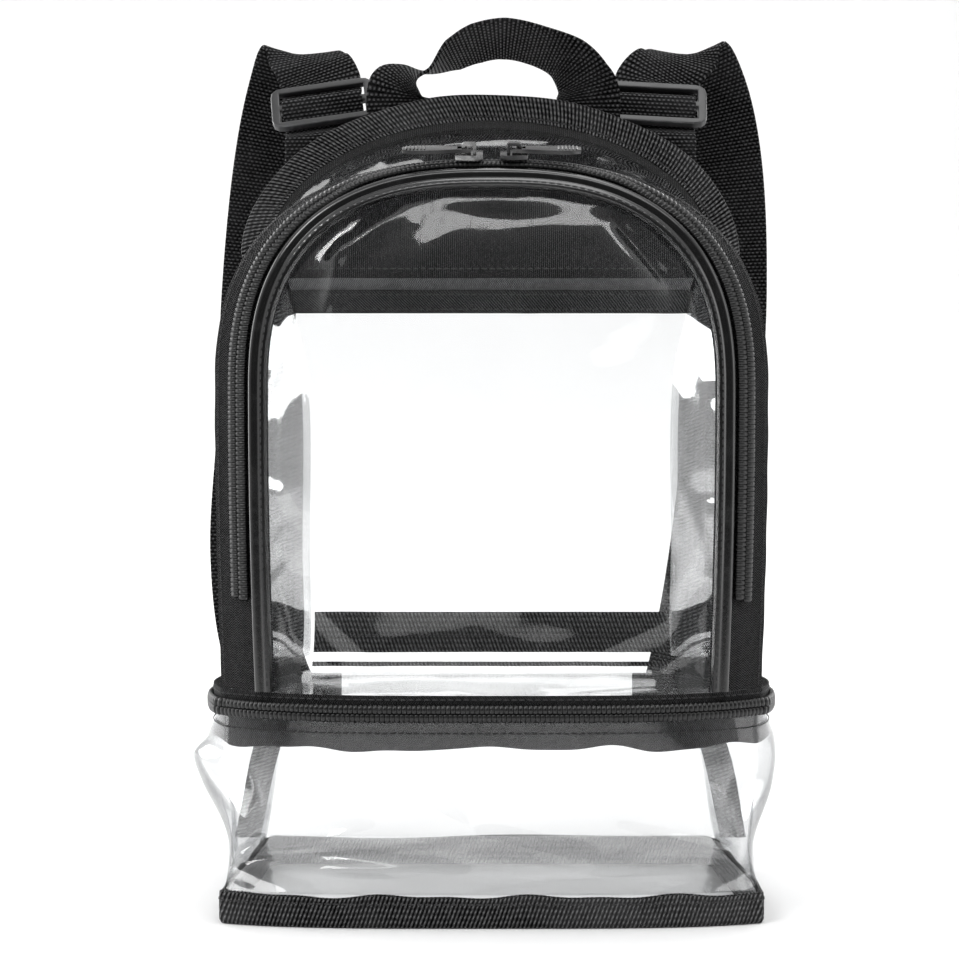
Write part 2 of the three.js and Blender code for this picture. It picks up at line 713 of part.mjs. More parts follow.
// Sheet that fills the plan at one height and sags in the middle
function floorSheet(z, sag, lift) {
  const sideRows = 4;
  const frontRows = 5;
  const columns = 8;
  const shares = [
    ...Array.from({ length: sideRows }, (_, i) => lerp(planEnd, PLAN_SIDE, i / sideRows)),
    ...Array.from({ length: frontRows + 1 }, (_, i) => lerp(PLAN_SIDE, 0.5 - planEnd, i / frontRows)),
  ];
  const backEdge = backSheetY - CLEARANCE;
  const frontEdge = planPoint(0.5, z, lift).y;
  const backCorner = backInsetHalf(z, seamInset) - CLEARANCE;
  const sections = shares.map((share, i) => {
    const left = i === 0 ? point(-backCorner, backEdge, z) : planPoint(share, z, lift);
    const right = i === 0 ? point(backCorner, backEdge, z) : planPoint(1 - share, z, lift);
    const outer = [];
    const inner = [];
    for (let j = 0; j <= columns; j += 1) {
      const at = left.clone().lerp(right, j / columns);
      const depth = (backEdge - at.y) / (backEdge - frontEdge);
      const dip = sag * (Math.sin(Math.PI * j / columns) * Math.sin(Math.PI * depth)) ** 2;
      outer.push(point(at.x, at.y, z + VINYL - dip));
      inner.push(point(at.x, at.y, z - dip));
    }
    return { outer, inner };
  });
  return skin(sections);
}

// Grab handle, its ends sewn down behind the top binding
function grabHandle() {
  const foot = archTop(HANDLE_HALF_SPAN);
  const rows = handleRoute.map((row) => ({
    at: point(row.across * HANDLE_HALF_SPAN, onBack, foot + HANDLE_CLEAR + row.up * HANDLE_RISE),
    across: point(row.inX, row.inY, row.inZ).normalize(),
  }));
  const sewn = (row) => ({ at: row.at.clone().setZ(foot - SEWN_LENGTH / 2), across: row.across.clone() });
  return ribbon([sewn(rows[0]), ...rows, sewn(rows.at(-1))], HANDLE_WIDTH, WEBBING);
}

const model = new THREE.Group();

function add(name, geometry, material) {
  const mesh = new THREE.Mesh(geometry, material);
  mesh.name = name;
  model.add(mesh);
  return mesh;
}

// Strap buckle: a frame with two windows and a thin bar between them, crossed by the webbing
const buckleAlong = point(0, Math.sin(radians(BUCKLE_TILT)), Math.cos(radians(BUCKLE_TILT)));
function buckleFrame({ side, tilt }) {
  const roll = -radians(tilt) * side;
  const up = buckleAlong.clone().applyAxisAngle(point(0, -1, 0), roll);
  const across = point(1, 0, 0).applyAxisAngle(point(0, -1, 0), roll);
  const face = across.clone().cross(up).normalize();
  const seam = point(side * STRAP_ROOT, onBack, archTop(STRAP_ROOT));
  return { across, up, face, seam, centre: seam.clone().addScaledVector(up, BUCKLE_FROM_SEAM) };
}

function buckle() {
  const half = BUCKLE_WIDTH / 2;
  const length = BUCKLE_LENGTH / 2;
  const corner = BUCKLE_CORNER;
  const outline = new THREE.Shape();
  outline.moveTo(-half + corner, -length);
  outline.lineTo(half - corner, -length);
  outline.quadraticCurveTo(half, -length, half, -length + corner);
  outline.lineTo(half, length - corner);
  outline.quadraticCurveTo(half, length, half - corner, length);
  outline.lineTo(-half + corner, length);
  outline.quadraticCurveTo(-half, length, -half, length - corner);
  outline.lineTo(-half, -length + corner);
  outline.quadraticCurveTo(-half, -length, -half + corner, -length);
  const windowHalf = STRAP_WIDTH / 2 + 1;
  const near = BUCKLE_BAR / 2;
  const far = length - BUCKLE_BAR;
  [-1, 1].forEach((side) => {
    const window = new THREE.Path();
    window.moveTo(-windowHalf, side * near);
    window.lineTo(windowHalf, side * near);
    window.lineTo(windowHalf, side * far);
    window.lineTo(-windowHalf, side * far);
    window.closePath();
    outline.holes.push(window);
  });
  const settings = { depth: BUCKLE_THICKNESS, bevelEnabled: false, curveSegments: 3 };
  return new THREE.ExtrudeGeometry(outline, settings).translate(0, 0, -BUCKLE_THICKNESS / 2);
}

// Webbing from the top seam through the buckle, over a fold and down behind the bag
const WEAVE_LIFT = BUCKLE_THICKNESS / 2 + CLEARANCE + WEBBING / 2;
const weave = [
  { up: -0.5, lift: -1.25 },
  { up: -0.36, lift: -1.2 },
  { up: 0, lift: 1.35 },
  { up: 0.36, lift: -1.2 },
  { up: 0.5, lift: -1.25 },
  { up: 0.72, lift: -1.15 },
];

function strap(strapSide) {
  const { name: column, side } = strapSide;
  const frame = buckleFrame(strapSide);
  const rows = [1, 0.5, 0].map((share) => ({
    at: frame.seam.clone().add(point(0, CLEARANCE * (1 - share), -SEWN_LENGTH * share)),
    across: frame.across.clone(),
  }));
  weave.forEach(({ up, lift }) => rows.push({
    at: frame.centre.clone()
      .addScaledVector(frame.up, up * BUCKLE_LENGTH)
      .addScaledVector(frame.face, lift * WEAVE_LIFT),
    across: frame.across.clone(),
  }));
  strapRoute.forEach((row) => {
    const turn = radians(row.turn) * side;
    rows.push({
      at: point(side * row[column] * STRAP_SPREAD, BACK_Y + row.back * STRAP_REACH, row.up * BACK_HEIGHT),
      across: point(Math.cos(turn), -Math.abs(Math.sin(turn)) * side, 0),
    });
  });
  const endOut = side * strapRoute.at(-1)[column] * STRAP_SPREAD;
  [1, 0.5, 0].forEach((share) => rows.push({
    at: point(endOut, onBack + CLEARANCE * share, STRAP_END_HEIGHT - SEWN_LENGTH * share),
    across: point(1, 0, 0),
  }));
  return ribbon(rows, STRAP_WIDTH, WEBBING, 2);
}

// Closed solid from a three.js geometry, for joining
function solid(geometry) {
  const bare = geometry.clone();
  bare.deleteAttribute('normal');
  bare.deleteAttribute('uv');
  const merged = mergeVertices(bare, 1e-4);
  return new wasm.Manifold(new wasm.Mesh({
    numProp: 3,
    vertProperties: new Float32Array(merged.getAttribute('position').array),
    triVerts: new Uint32Array(merged.getIndex().array),
  }));
}

function geometryOf(body) {
  const mesh = body.getMesh();
  const geometry = new THREE.BufferGeometry();
  geometry.setAttribute('position', new THREE.Float32BufferAttribute(mesh.vertProperties, 3));
  geometry.setIndex([...mesh.triVerts]);
  geometry.computeVertexNormals();
  return geometry;
}

function outlineShape(corners) {
  return new THREE.Shape(corners.map(([x, y]) => new THREE.Vector2(x, y)));
}

const flat = (depth) => ({ depth, bevelEnabled: false });

// Slider body over the coil: a tapered plate with an eyed bridge. X runs along the zip.
function sliderBody() {
  const long = SLIDER_LENGTH / 2;
  const wide = SLIDER_WIDTH / 2;
  const tail = wide * 0.74;
  const plate = new THREE.ExtrudeGeometry(outlineShape([
    [-long, -tail], [long * 0.4, -wide], [long, -wide * 0.7], [long, wide * 0.7], [long * 0.4, wide], [-long, tail],
  ]), flat(SLIDER_PLATE));
  const reach = BRIDGE_EYE / 2 + BRIDGE_WALL;
  const sunk = SLIDER_PLATE / 2;
  const top = SLIDER_PLATE + BRIDGE_EYE + BRIDGE_WALL;
  const arch = outlineShape([
    [-reach, sunk], [reach, sunk], [reach, top - BRIDGE_WALL / 2], [reach - BRIDGE_WALL / 2, top],
    [BRIDGE_WALL / 2 - reach, top], [-reach, top - BRIDGE_WALL / 2],
  ]);
  const eye = BRIDGE_EYE / 2;
  arch.holes.push(new THREE.Path([
    new THREE.Vector2(-eye, SLIDER_PLATE), new THREE.Vector2(eye, SLIDER_PLATE),
    new THREE.Vector2(eye, SLIDER_PLATE + BRIDGE_EYE), new THREE.Vector2(-eye, SLIDER_PLATE + BRIDGE_EYE),
  ]));
  const bridge = new THREE.ExtrudeGeometry(arch, flat(BRIDGE_WIDTH))
    .rotateX(Math.PI / 2).translate(0, BRIDGE_WIDTH / 2, 0);
  return solid(plate).add(solid(bridge));
}

// Pull tab with its pivot bar at the origin, lying along -X
function pullTab() {
  const bar = TAB_THICKNESS / 2;
  const wide = TAB_WIDTH / 2;
  const neck = wide * 0.72;
  const eyeLength = BRIDGE_EYE / 2 + BRIDGE_WALL + CLEARANCE;
  const outline = outlineShape([
    [bar, -neck], [bar, neck], [-eyeLength * 1.6, neck], [-TAB_LENGTH * 0.5, wide],
    [-TAB_LENGTH + wide, wide], [-TAB_LENGTH, wide * 0.5], [-TAB_LENGTH, -wide * 0.5],
    [-TAB_LENGTH + wide, -wide], [-TAB_LENGTH * 0.5, -wide], [-eyeLength * 1.6, -neck],
  ]);
  const eyeHalf = BRIDGE_WIDTH / 2 + CLEARANCE;
  const inner = eyeLength * Math.SQRT2;
  outline.holes.push(new THREE.Path([
    new THREE.Vector2(-bar, -eyeHalf), new THREE.Vector2(-bar, eyeHalf),
    new THREE.Vector2(-inner, eyeHalf), new THREE.Vector2(-inner, -eyeHalf),
  ]));
  return new THREE.ExtrudeGeometry(outline, flat(TAB_THICKNESS)).translate(0, 0, -TAB_THICKNESS / 2);
}

const sliderSeat = trimLow + COIL_HEIGHT + CLEARANCE;
const pivotRise = SLIDER_PLATE + BRIDGE_EYE / 2;

// Frame on the main zip's coil at a distance from the middle of its arch
function coilFrame(x) {
  const inset = COIL_INSET + COIL_WIDTH / 2;
  const height = (at) => {
    const out = Math.abs(at) / (FRONT_HALF - inset);
    const up = (1 - out ** FRONT_ROUNDNESS) ** (1 / FRONT_ROUNDNESS);
    return FRONT_SHOULDER_HEIGHT + (FRONT_HEIGHT - topInset(inset) - FRONT_SHOULDER_HEIGHT) * up;
  };
  const away = Math.sign(x);
  const seat = frontPoint(x, height(x), sliderSeat);
  const face = seat.clone().sub(frontPoint(x, height(x), 0)).normalize();
  const zipwise = frontPoint(x - away, height(x - away), sliderSeat).sub(seat);
  zipwise.addScaledVector(face, -zipwise.dot(face)).normalize();
  return { seat, zipwise, across: face.clone().cross(zipwise), face };
}

function place(mesh, { seat, zipwise, across, face }, rise) {
  mesh.quaternion.setFromRotationMatrix(new THREE.Matrix4().makeBasis(zipwise, across, face));
  mesh.position.copy(seat).addScaledVector(face, rise);
}

// Slider of the lower zip, closed at the rear of the left side, in one piece with its tab
const LOWER_SLIDER_SHARE = 0.06;
function lowerSlider(mesh) {
  const seat = planPoint(LOWER_SLIDER_SHARE, ZIP_HEIGHT, sliderSeat);
  const ahead = planPoint(LOWER_SLIDER_SHARE + 0.01, ZIP_HEIGHT, sliderSeat);
  const zipwise = seat.clone().sub(ahead).normalize();
  const face = seat.clone().sub(planPoint(LOWER_SLIDER_SHARE, ZIP_HEIGHT, 0)).normalize();
  face.addScaledVector(zipwise, -face.dot(zipwise)).normalize();
  place(mesh, { seat, zipwise, across: face.clone().cross(zipwise), face }, 0);
}

add('front_door', frontDoor(), colours.vinyl);
add('gusset', gusset(), colours.vinyl);
add('gusset_seam', gussetSeam(), colours.vinyl);
add('back_panel', backPanel(), colours.vinyl);
add('back_yoke', backYoke(), colours.fabric);
add('back_binding', backBinding(), colours.webbing);
const stripLayer = flangeY;
add('yoke_band', backStrip(YOKE_BOTTOM, YOKE_TAPE_ABOVE, stripLayer, FABRIC), colours.webbing);
add('yoke_tape', backStrip(YOKE_BOTTOM + YOKE_TAPE_ABOVE + CLEARANCE, YOKE_TAPE_HEIGHT, stripLayer, FABRIC),
  colours.tape);
add('back_lower_band', backStrip(LOWER_BAND_TOP - LOWER_BAND_HEIGHT, LOWER_BAND_HEIGHT, stripLayer, WEBBING),
  colours.webbing);
add('main_zip_outer_tape', mainZipTape('outer'), colours.tape);
add('main_zip_inner_tape', mainZipTape('inner'), colours.tape);
add('main_zip_coil', mainZipCoil(), colours.coil);
add('door_piping', doorPiping(), colours.piping);
add('lower_wall', lowerWall(), colours.vinyl);
add('lower_zip_upper_tape', lowerZipUpperTape(), colours.tape);
add('lower_zip_lower_tape', lowerZipLowerTape(), colours.tape);
add('lower_zip_coil', lowerZipCoil(), colours.coil);
add('divider_floor', floorSheet(ZIP_HEIGHT, 3, VINYL), colours.vinyl);
add('base_panel', floorSheet(BASE_BINDING_HEIGHT + CLEARANCE, 0, -VINYL), colours.vinyl);
add('base_binding', baseBinding(), colours.webbing);
add('grab_handle', grabHandle(), colours.webbing);
strapSides.forEach((strapSide) => {
  add(`shoulder_strap_${strapSide.name}`, strap(strapSide), colours.webbing);
  const frame = buckleFrame(strapSide);
  const mesh = add(`strap_buckle_${strapSide.name}`, buckle(), colours.buckle);
  mesh.quaternion.setFromRotationMatrix(new THREE.Matrix4().makeBasis(frame.across, frame.up, frame.face));
  mesh.position.copy(frame.centre);
});

strapSides.forEach(({ name, side }) => {
  const frame = coilFrame(side * SLIDER_SPACING / 2);
  place(add(`main_slider_${name}`, geometryOf(sliderBody()), colours.slider), frame, 0);
  place(add(`pull_tab_${name}`, pullTab(), colours.slider), frame, pivotRise);
});
const plainTab = solid(pullTab().translate(0, 0, SLIDER_PLATE));
lowerSlider(add('lower_slider', geometryOf(sliderBody().add(plainTab)), colours.slider));

// Puts the origin under the middle of the whole, straps included
const reach = new THREE.Box3().setFromObject(model, true);
model.position.y = -(reach.min.y + reach.max.y) / 2;

export default model;
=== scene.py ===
import math
import bmesh
import bpy
import numpy as np
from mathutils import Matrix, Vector


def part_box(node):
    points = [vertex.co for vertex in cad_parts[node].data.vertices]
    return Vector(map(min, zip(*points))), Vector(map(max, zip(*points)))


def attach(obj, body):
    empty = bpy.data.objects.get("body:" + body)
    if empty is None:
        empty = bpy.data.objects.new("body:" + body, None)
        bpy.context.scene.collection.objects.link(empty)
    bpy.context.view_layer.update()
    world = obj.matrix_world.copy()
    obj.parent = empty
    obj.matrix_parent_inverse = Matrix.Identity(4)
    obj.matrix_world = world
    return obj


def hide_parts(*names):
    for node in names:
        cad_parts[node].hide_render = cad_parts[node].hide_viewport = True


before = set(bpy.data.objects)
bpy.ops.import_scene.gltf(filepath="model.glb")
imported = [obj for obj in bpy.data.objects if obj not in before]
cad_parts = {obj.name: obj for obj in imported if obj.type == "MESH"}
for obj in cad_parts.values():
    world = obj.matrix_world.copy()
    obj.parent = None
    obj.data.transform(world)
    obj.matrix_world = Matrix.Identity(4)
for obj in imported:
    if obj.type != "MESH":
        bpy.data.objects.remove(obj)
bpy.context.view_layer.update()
bpy.context.scene.view_settings.view_transform = "Standard"

# Sizes of the bag in millimetres, as in the part's source
MM = 0.001
BAG_DEPTH = 127.0
BACK_HEIGHT, BACK_SHOULDER_HALF, BACK_SHOULDER_HEIGHT = 305.0, 98.0, 242.0
FRONT_HEIGHT, FRONT_HALF, FRONT_SHOULDER_HEIGHT, FRONT_FOOT_HALF = 271.5, 98.2, 190.0, 95.5
BASE_HALF, WAIST_HALF = FRONT_FOOT_HALF + 6.5, 85.0
FRONT_LEAN, FRONT_CROWN, TOP_ROLL, TOP_SQUEEZE, BASE_CROWN, FRONT_ROUNDNESS = 7.0, 21.0, 9.0, 0.3, 9.0, 2.6
ZIP_HEIGHT, ZIP_FLARE, FLARE_REACH, LOWER_BULGE, PINCH_DEPTH, GUSSET_SWELL = 77.0, 11.0, 14.0, 14.0, 9.0, 2.0
CLEARANCE, LAP_CLEARANCE, VINYL, TAPE, WEBBING = 0.3, 0.7, 1.0, 0.8, 1.5
BINDING_WALL, BINDING_WIDTH, BASE_BINDING_HEIGHT = 1.0, 10.5, 11.0
COIL_WIDTH, COIL_HEIGHT, COIL_INSET = 6.6, 2.4, 5.8
PIPING_WIDTH, PIPING_HEIGHT, DOOR_LAP, COIL_END_HEIGHT = 6.2, 2.8, 3.5, 117.0
LOWER_TAPE_DROP, UPPER_TAPE_RISE = 13.0, 3.0
YOKE_BOTTOM, YOKE_TAPE_ABOVE, YOKE_TAPE_HEIGHT = 219.0, 9.0, 4.5
LOWER_BAND_TOP, LOWER_BAND_HEIGHT = 101.0, 16.0
HANDLE_WIDTH, HANDLE_RISE, HANDLE_CLEAR, HANDLE_HALF_SPAN = 25.0, 23.0, 4.0, 37.0
STRAP_WIDTH, STRAP_ROOT, STRAP_SPREAD, STRAP_REACH, STRAP_END_HEIGHT = 32.0, 65.0, 94.0, 46.0, 76.0
BUCKLE_LENGTH, BUCKLE_THICKNESS, BUCKLE_TILT, BUCKLE_FROM_SEAM, SEWN_LENGTH = 24.0, 3.0, 46.0, 19.0, 16.0
SLIDER_PLATE, SLIDER_SPACING, BRIDGE_EYE = 1.8, 16.0, 2.8
TAB_LENGTH, TAB_WIDTH, TAB_THICKNESS = 24.0, 7.0, 1.5
FRONT_Y, BACK_Y = -BAG_DEPTH / 2, BAG_DEPTH / 2
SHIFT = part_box("back_binding")[1].y / MM - BACK_Y
FLANGE_Y = BACK_Y - BINDING_WALL - CLEARANCE - VINYL - CLEARANCE
SLOT_INSET = BINDING_WALL + LAP_CLEARANCE
SEAM_INSET = BINDING_WIDTH + VINYL + 3 * LAP_CLEARANCE
BACK_SHEET_Y = FLANGE_Y + CLEARANCE
ON_BACK = BACK_Y + LAP_CLEARANCE + WEBBING / 2
ROLLED_BAND = COIL_INSET + COIL_WIDTH + LAP_CLEARANCE
DOOR_INSET = ROLLED_BAND + PIPING_WIDTH - DOOR_LAP
TAPE_LOW = VINYL + LAP_CLEARANCE
TAPE_HIGH = TAPE_LOW + TAPE
TRIM_LOW = TAPE_HIGH + LAP_CLEARANCE
LOWER_SEAM = ZIP_HEIGHT + COIL_WIDTH / 2 + UPPER_TAPE_RISE
FRONT_FOOT = LOWER_SEAM + CLEARANCE
BACK_FOOT = BASE_BINDING_HEIGHT + CLEARANCE
LOWER_WALL_TOP = ZIP_HEIGHT - COIL_WIDTH / 2
LOWER_TAPE_TOP = ZIP_HEIGHT - CLEARANCE
LOWER_TAPE_LOW = LOWER_TAPE_TOP - LOWER_TAPE_DROP
SIDE_SHARE = 0.3
PLAN_SIDE, PLAN_END = 0.3, 0.012
PINCH_REACH, PINCH_SPREAD, SIDE_PINCH = 0.86, 0.22, 0.35

BACK_PROFILE = np.array([[0, 1, 0, 0], [.12, .66, .34, 0], [.3, .03, .97, 0], [.5, 0, 1, 0],
                         [.78, 0, .97, .03], [.92, 0, .45, .55], [1, 0, 0, 1]], float)
LOWER_PROFILE = np.array([[0, 0, 0, 0], [.25, .2, 1, 0], [.55, .75, .35, .15], [.8, 1, 0, .2], [1, 0, 0, 1]], float)


def lerp(a, b, t):
    return a + (b - a) * t


def smooth(t):
    t = np.clip(t, 0, 1)
    return t * t * (3 - 2 * t)


def along(table, share):
    """Smooth values of a table's other columns at a share of its first one."""
    share = np.clip(np.asarray(share, float), 0, 1)
    keys = table[:, 0]
    row = np.clip(np.searchsorted(keys, share, side="left") - 1, 0, len(keys) - 2)
    before, after = np.maximum(row - 1, 0), np.minimum(row + 2, len(keys) - 1)
    span = (keys[row + 1] - keys[row])[..., None]
    t = np.clip((share - keys[row])[..., None] / span, 0, 1)
    p, q = table[row], table[row + 1]
    a = (q - table[before]) / (keys[row + 1] - keys[before])[..., None] * span
    b = (table[after] - p) / (keys[after] - keys[row])[..., None] * span
    return ((2 * t**3 - 3 * t**2 + 1) * p + (t**3 - 2 * t**2 + t) * a + (3 * t**2 - 2 * t**3) * q + (t**3 - t**2) * b)[..., 1:]


def back_half(z):
    z = np.asarray(z, float)
    up = np.clip((z - BACK_SHOULDER_HEIGHT) / (BACK_HEIGHT - BACK_SHOULDER_HEIGHT), 0, 1)
    share = np.maximum(z - BASE_BINDING_HEIGHT, 0) / (BACK_SHOULDER_HEIGHT - BASE_BINDING_HEIGHT)
    lower = along(BACK_PROFILE, share) @ np.array([BASE_HALF, WAIST_HALF, BACK_SHOULDER_HALF])
    return np.where(z > BACK_SHOULDER_HEIGHT, BACK_SHOULDER_HALF * np.sqrt(1 - up * up), lower)


def front_half(z):
    z = np.asarray(z, float)
    up = np.clip((z - FRONT_SHOULDER_HEIGHT) / (FRONT_HEIGHT - FRONT_SHOULDER_HEIGHT), 0, 1)
    share = np.clip((FRONT_SHOULDER_HEIGHT - z) / (FRONT_SHOULDER_HEIGHT - ZIP_HEIGHT), 0, 1)
    arch = FRONT_HALF * (1 - up**FRONT_ROUNDNESS) ** (1 / FRONT_ROUNDNESS)
    return np.where(z > FRONT_SHOULDER_HEIGHT, arch, lerp(FRONT_HALF, FRONT_FOOT_HALF, share**2))


def top_inset(inset):
    return inset - (1 - TOP_SQUEEZE) * np.minimum(inset, ROLLED_BAND)


FRONT_ARCH = (FRONT_FOOT, FRONT_SHOULDER_HEIGHT, FRONT_HEIGHT, front_half, FRONT_ROUNDNESS, top_inset)
BACK_ARCH = (BACK_FOOT, BACK_SHOULDER_HEIGHT, BACK_HEIGHT, back_half, 2.0, lambda inset: inset)


def arch_point(share, arch, inset):
    foot, shoulder, top, half, roundness, at_top = arch
    share, inset = np.broadcast_arrays(np.asarray(share, float), np.asarray(inset, float))
    mirrored = np.minimum(share, 1 - share)
    side = np.where(share > 0.5, 1.0, -1.0)
    z_side = lerp(foot, shoulder, np.clip(mirrored / SIDE_SHARE, 0, 1))
    angle = np.clip((mirrored - SIDE_SHARE) / (0.5 - SIDE_SHARE), 0, 1) * math.pi / 2
    power = 2 / roundness
    x_arch = (half(shoulder) - inset) * np.clip(np.cos(angle), 0, 1) ** power
    z_arch = shoulder + (top - at_top(inset) - shoulder) * np.sin(angle) ** power
    low = mirrored <= SIDE_SHARE
    return side * np.where(low, half(z_side) - inset, x_arch), np.where(low, z_side, z_arch)


def front_depth(x, z):
    up = np.maximum(z - FRONT_SHOULDER_HEIGHT, 0) / (FRONT_HEIGHT - FRONT_SHOULDER_HEIGHT)
    arch = (up**FRONT_ROUNDNESS + (np.abs(x) / FRONT_HALF) ** FRONT_ROUNDNESS) ** (1 / FRONT_ROUNDNESS)
    reach = np.where(z <= FRONT_SHOULDER_HEIGHT, np.abs(x) / front_half(np.minimum(z, FRONT_SHOULDER_HEIGHT)), arch)
    lean = FRONT_LEAN * np.maximum(z - ZIP_HEIGHT, 0) / (FRONT_HEIGHT - ZIP_HEIGHT)
    topward = (up / np.maximum(reach, 1e-6)) ** FRONT_ROUNDNESS
    start = 1 - top_inset(ROLLED_BAND) / (FRONT_HEIGHT - FRONT_SHOULDER_HEIGHT)
    roll = TOP_ROLL * topward * np.clip((reach - start) / (1 - start), 0, 1.2) ** 1.5
    return FRONT_Y + VINYL + PIPING_HEIGHT + lean + FRONT_CROWN * reach**4 + roll


def front_point(x, z, lift):
    x, z = np.asarray(x, float), np.asarray(z, float)
    slope_x = front_depth(x + 0.5, z) - front_depth(x - 0.5, z)
    slope_z = front_depth(x, z + 0.5) - front_depth(x, z - 0.5)
    out = np.stack([slope_x, -np.ones_like(slope_x), slope_z], -1)
    out /= np.linalg.norm(out, axis=-1, keepdims=True)
    return np.stack([x, front_depth(x, z), z], -1) + out * np.asarray(lift, float)[..., None]


def inset_half(z, inset):
    span = FRONT_HEIGHT - top_inset(inset) - FRONT_SHOULDER_HEIGHT
    share = np.clip((z - FRONT_SHOULDER_HEIGHT) / span, 0, 1)
    arch = (FRONT_HALF - inset) * (1 - share**FRONT_ROUNDNESS) ** (1 / FRONT_ROUNDNESS)
    return np.where(z <= FRONT_SHOULDER_HEIGHT, front_half(np.minimum(z, FRONT_SHOULDER_HEIGHT)) - inset, arch)


def back_inset_half(z, inset):
    share = np.clip((z - BACK_SHOULDER_HEIGHT) / (BACK_HEIGHT - inset - BACK_SHOULDER_HEIGHT), 0, 1)
    arch = (BACK_SHOULDER_HALF - inset) * np.sqrt(1 - share**2)
    return np.where(z <= BACK_SHOULDER_HEIGHT, back_half(np.minimum(z, BACK_SHOULDER_HEIGHT)) - inset, arch)


def plan_place(share, z):
    share, z = np.broadcast_arrays(np.asarray(share, float), np.asarray(z, float))
    height = np.clip((z - BASE_BINDING_HEIGHT) / (LOWER_WALL_TOP - BASE_BINDING_HEIGHT), 0, 1)
    profile = along(LOWER_PROFILE, height)
    bulge, pinch, flare = LOWER_BULGE * profile[..., 0], PINCH_DEPTH * profile[..., 1], ZIP_FLARE * profile[..., 2]
    crown = lerp(BASE_CROWN, FRONT_CROWN, height)
    half = front_half(np.maximum(z, ZIP_HEIGHT))
    front_y = FRONT_Y + VINYL + PIPING_HEIGHT
    mirrored = np.minimum(share, 1 - share)
    side = np.where(share > 0.5, 1.0, -1.0)
    reach = np.clip((0.5 - mirrored) / (0.5 - PLAN_SIDE), 0, 1)
    near = pinch * np.exp(-(((reach - PINCH_REACH) / PINCH_SPREAD) ** 2))
    back = np.clip(1 - mirrored / PLAN_SIDE, 0, 1)
    seam = back_inset_half(z, SEAM_INSET)
    swell = np.sin(math.pi * back) * (bulge + flare) - SIDE_PINCH * pinch * (1 - back) ** 3
    end_y = FLANGE_Y - VINYL - CLEARANCE - BINDING_WALL - CLEARANCE
    front = mirrored >= PLAN_SIDE
    x = np.where(front, half * reach, lerp(half, seam, back * back * (3 - 2 * back)) + swell)
    y = np.where(front, front_y + crown * reach**4 + near, lerp(front_y + crown, end_y, back))
    return side * x, y


def plan_point(share, z, lift):
    share, z, lift = np.broadcast_arrays(np.asarray(share, float), np.asarray(z, float), np.asarray(lift, float))
    x0, y0 = plan_place(np.maximum(share - 0.004, 0), z)
    x1, y1 = plan_place(np.minimum(share + 0.004, 1), z)
    x, y = plan_place(share, z)
    length = np.hypot(x1 - x0, y1 - y0)
    return np.stack([x + (y1 - y0) / length * lift, y - (x1 - x0) / length * lift, z], -1)


def arch_top(x):
    return BACK_SHOULDER_HEIGHT + (BACK_HEIGHT - BACK_SHOULDER_HEIGHT) * math.sqrt(1 - (x / BACK_SHOULDER_HALF) ** 2)


def even(points, count, low=0.0, high=1.0):
    """Indices, as fractions of the rows, that part a dense path into even lengths."""
    step = np.linalg.norm(np.diff(points, axis=0), axis=1)
    length = np.concatenate([[0], np.cumsum(step)])
    goal = np.linspace(length[-1] * low, length[-1] * high, count)
    return np.interp(goal, length, np.linspace(0, 1, len(points))), length[-1]


def arch_shares(count, inset, low=0.0, high=1.0, arch=FRONT_ARCH):
    dense = np.linspace(low, high, 3000)
    x, z = arch_point(dense, arch, inset)
    place, length = even(np.stack([x, z], -1), count)
    return lerp(low, high, place), length


def plan_shares(count, z, low=PLAN_END, high=1 - PLAN_END):
    dense = np.linspace(low, high, 3000)
    place, length = even(plan_point(dense, z, 0)[:, :2], count)
    return lerp(low, high, place), length


def normals_of(grid, loop=False):
    """Unit normals of a grid of points."""
    if loop:
        du = np.roll(grid, -1, 0) - np.roll(grid, 1, 0)
    else:
        du = np.gradient(grid, axis=0)
    dv = np.gradient(grid, axis=1)
    n = np.cross(du, dv)
    return n / np.maximum(np.linalg.norm(n, axis=-1, keepdims=True), 1e-9)


def lengths(grid, axis):
    """Running length of a grid along one axis, averaged over the other."""
    step = np.linalg.norm(np.diff(grid, axis=axis), axis=-1).mean(axis=1 - axis)
    return np.concatenate([[0], np.cumsum(step)])


def build(name, verts, faces, uvs, material, slot, replaces=(), body="bag", sharp=50, flip=None):
    """A mesh piece from points in millimetres, riding on its body. uvs is one pair for each vertex."""
    verts = np.asarray(verts, float).copy()
    verts[:, 1] += SHIFT
    verts *= MM
    if flip is None:
        tri = [(f[0], f[i], f[i + 1]) for f in faces for i in range(1, len(f) - 1)]
        tri = np.array(tri)
        a, b, c = verts[tri[:, 0]], verts[tri[:, 1]], verts[tri[:, 2]]
        flip = np.einsum("ij,ij->i", a, np.cross(b, c)).sum() < 0
    if flip:
        faces = [tuple(reversed(f)) for f in faces]
    mesh = bpy.data.meshes.new(name)
    mesh.from_pydata([tuple(v) for v in verts], [], faces)
    if uvs is not None:
        layer = mesh.uv_layers.new(name="UVMap")
        index = np.empty(len(mesh.loops), np.int32)
        mesh.loops.foreach_get("vertex_index", index)
        layer.data.foreach_set("uv", np.asarray(uvs, np.float32)[index].ravel())
    mesh.polygons.foreach_set("use_smooth", np.ones(len(mesh.polygons), bool))
    mesh.set_sharp_from_angle(angle=math.radians(sharp))
    mesh.materials.append(material)
    mesh.update()
    obj = bpy.data.objects.new(name, mesh)
    bpy.context.collection.objects.link(obj)
    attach(obj, body)
    if replaces:
        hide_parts(*replaces)
    return obj


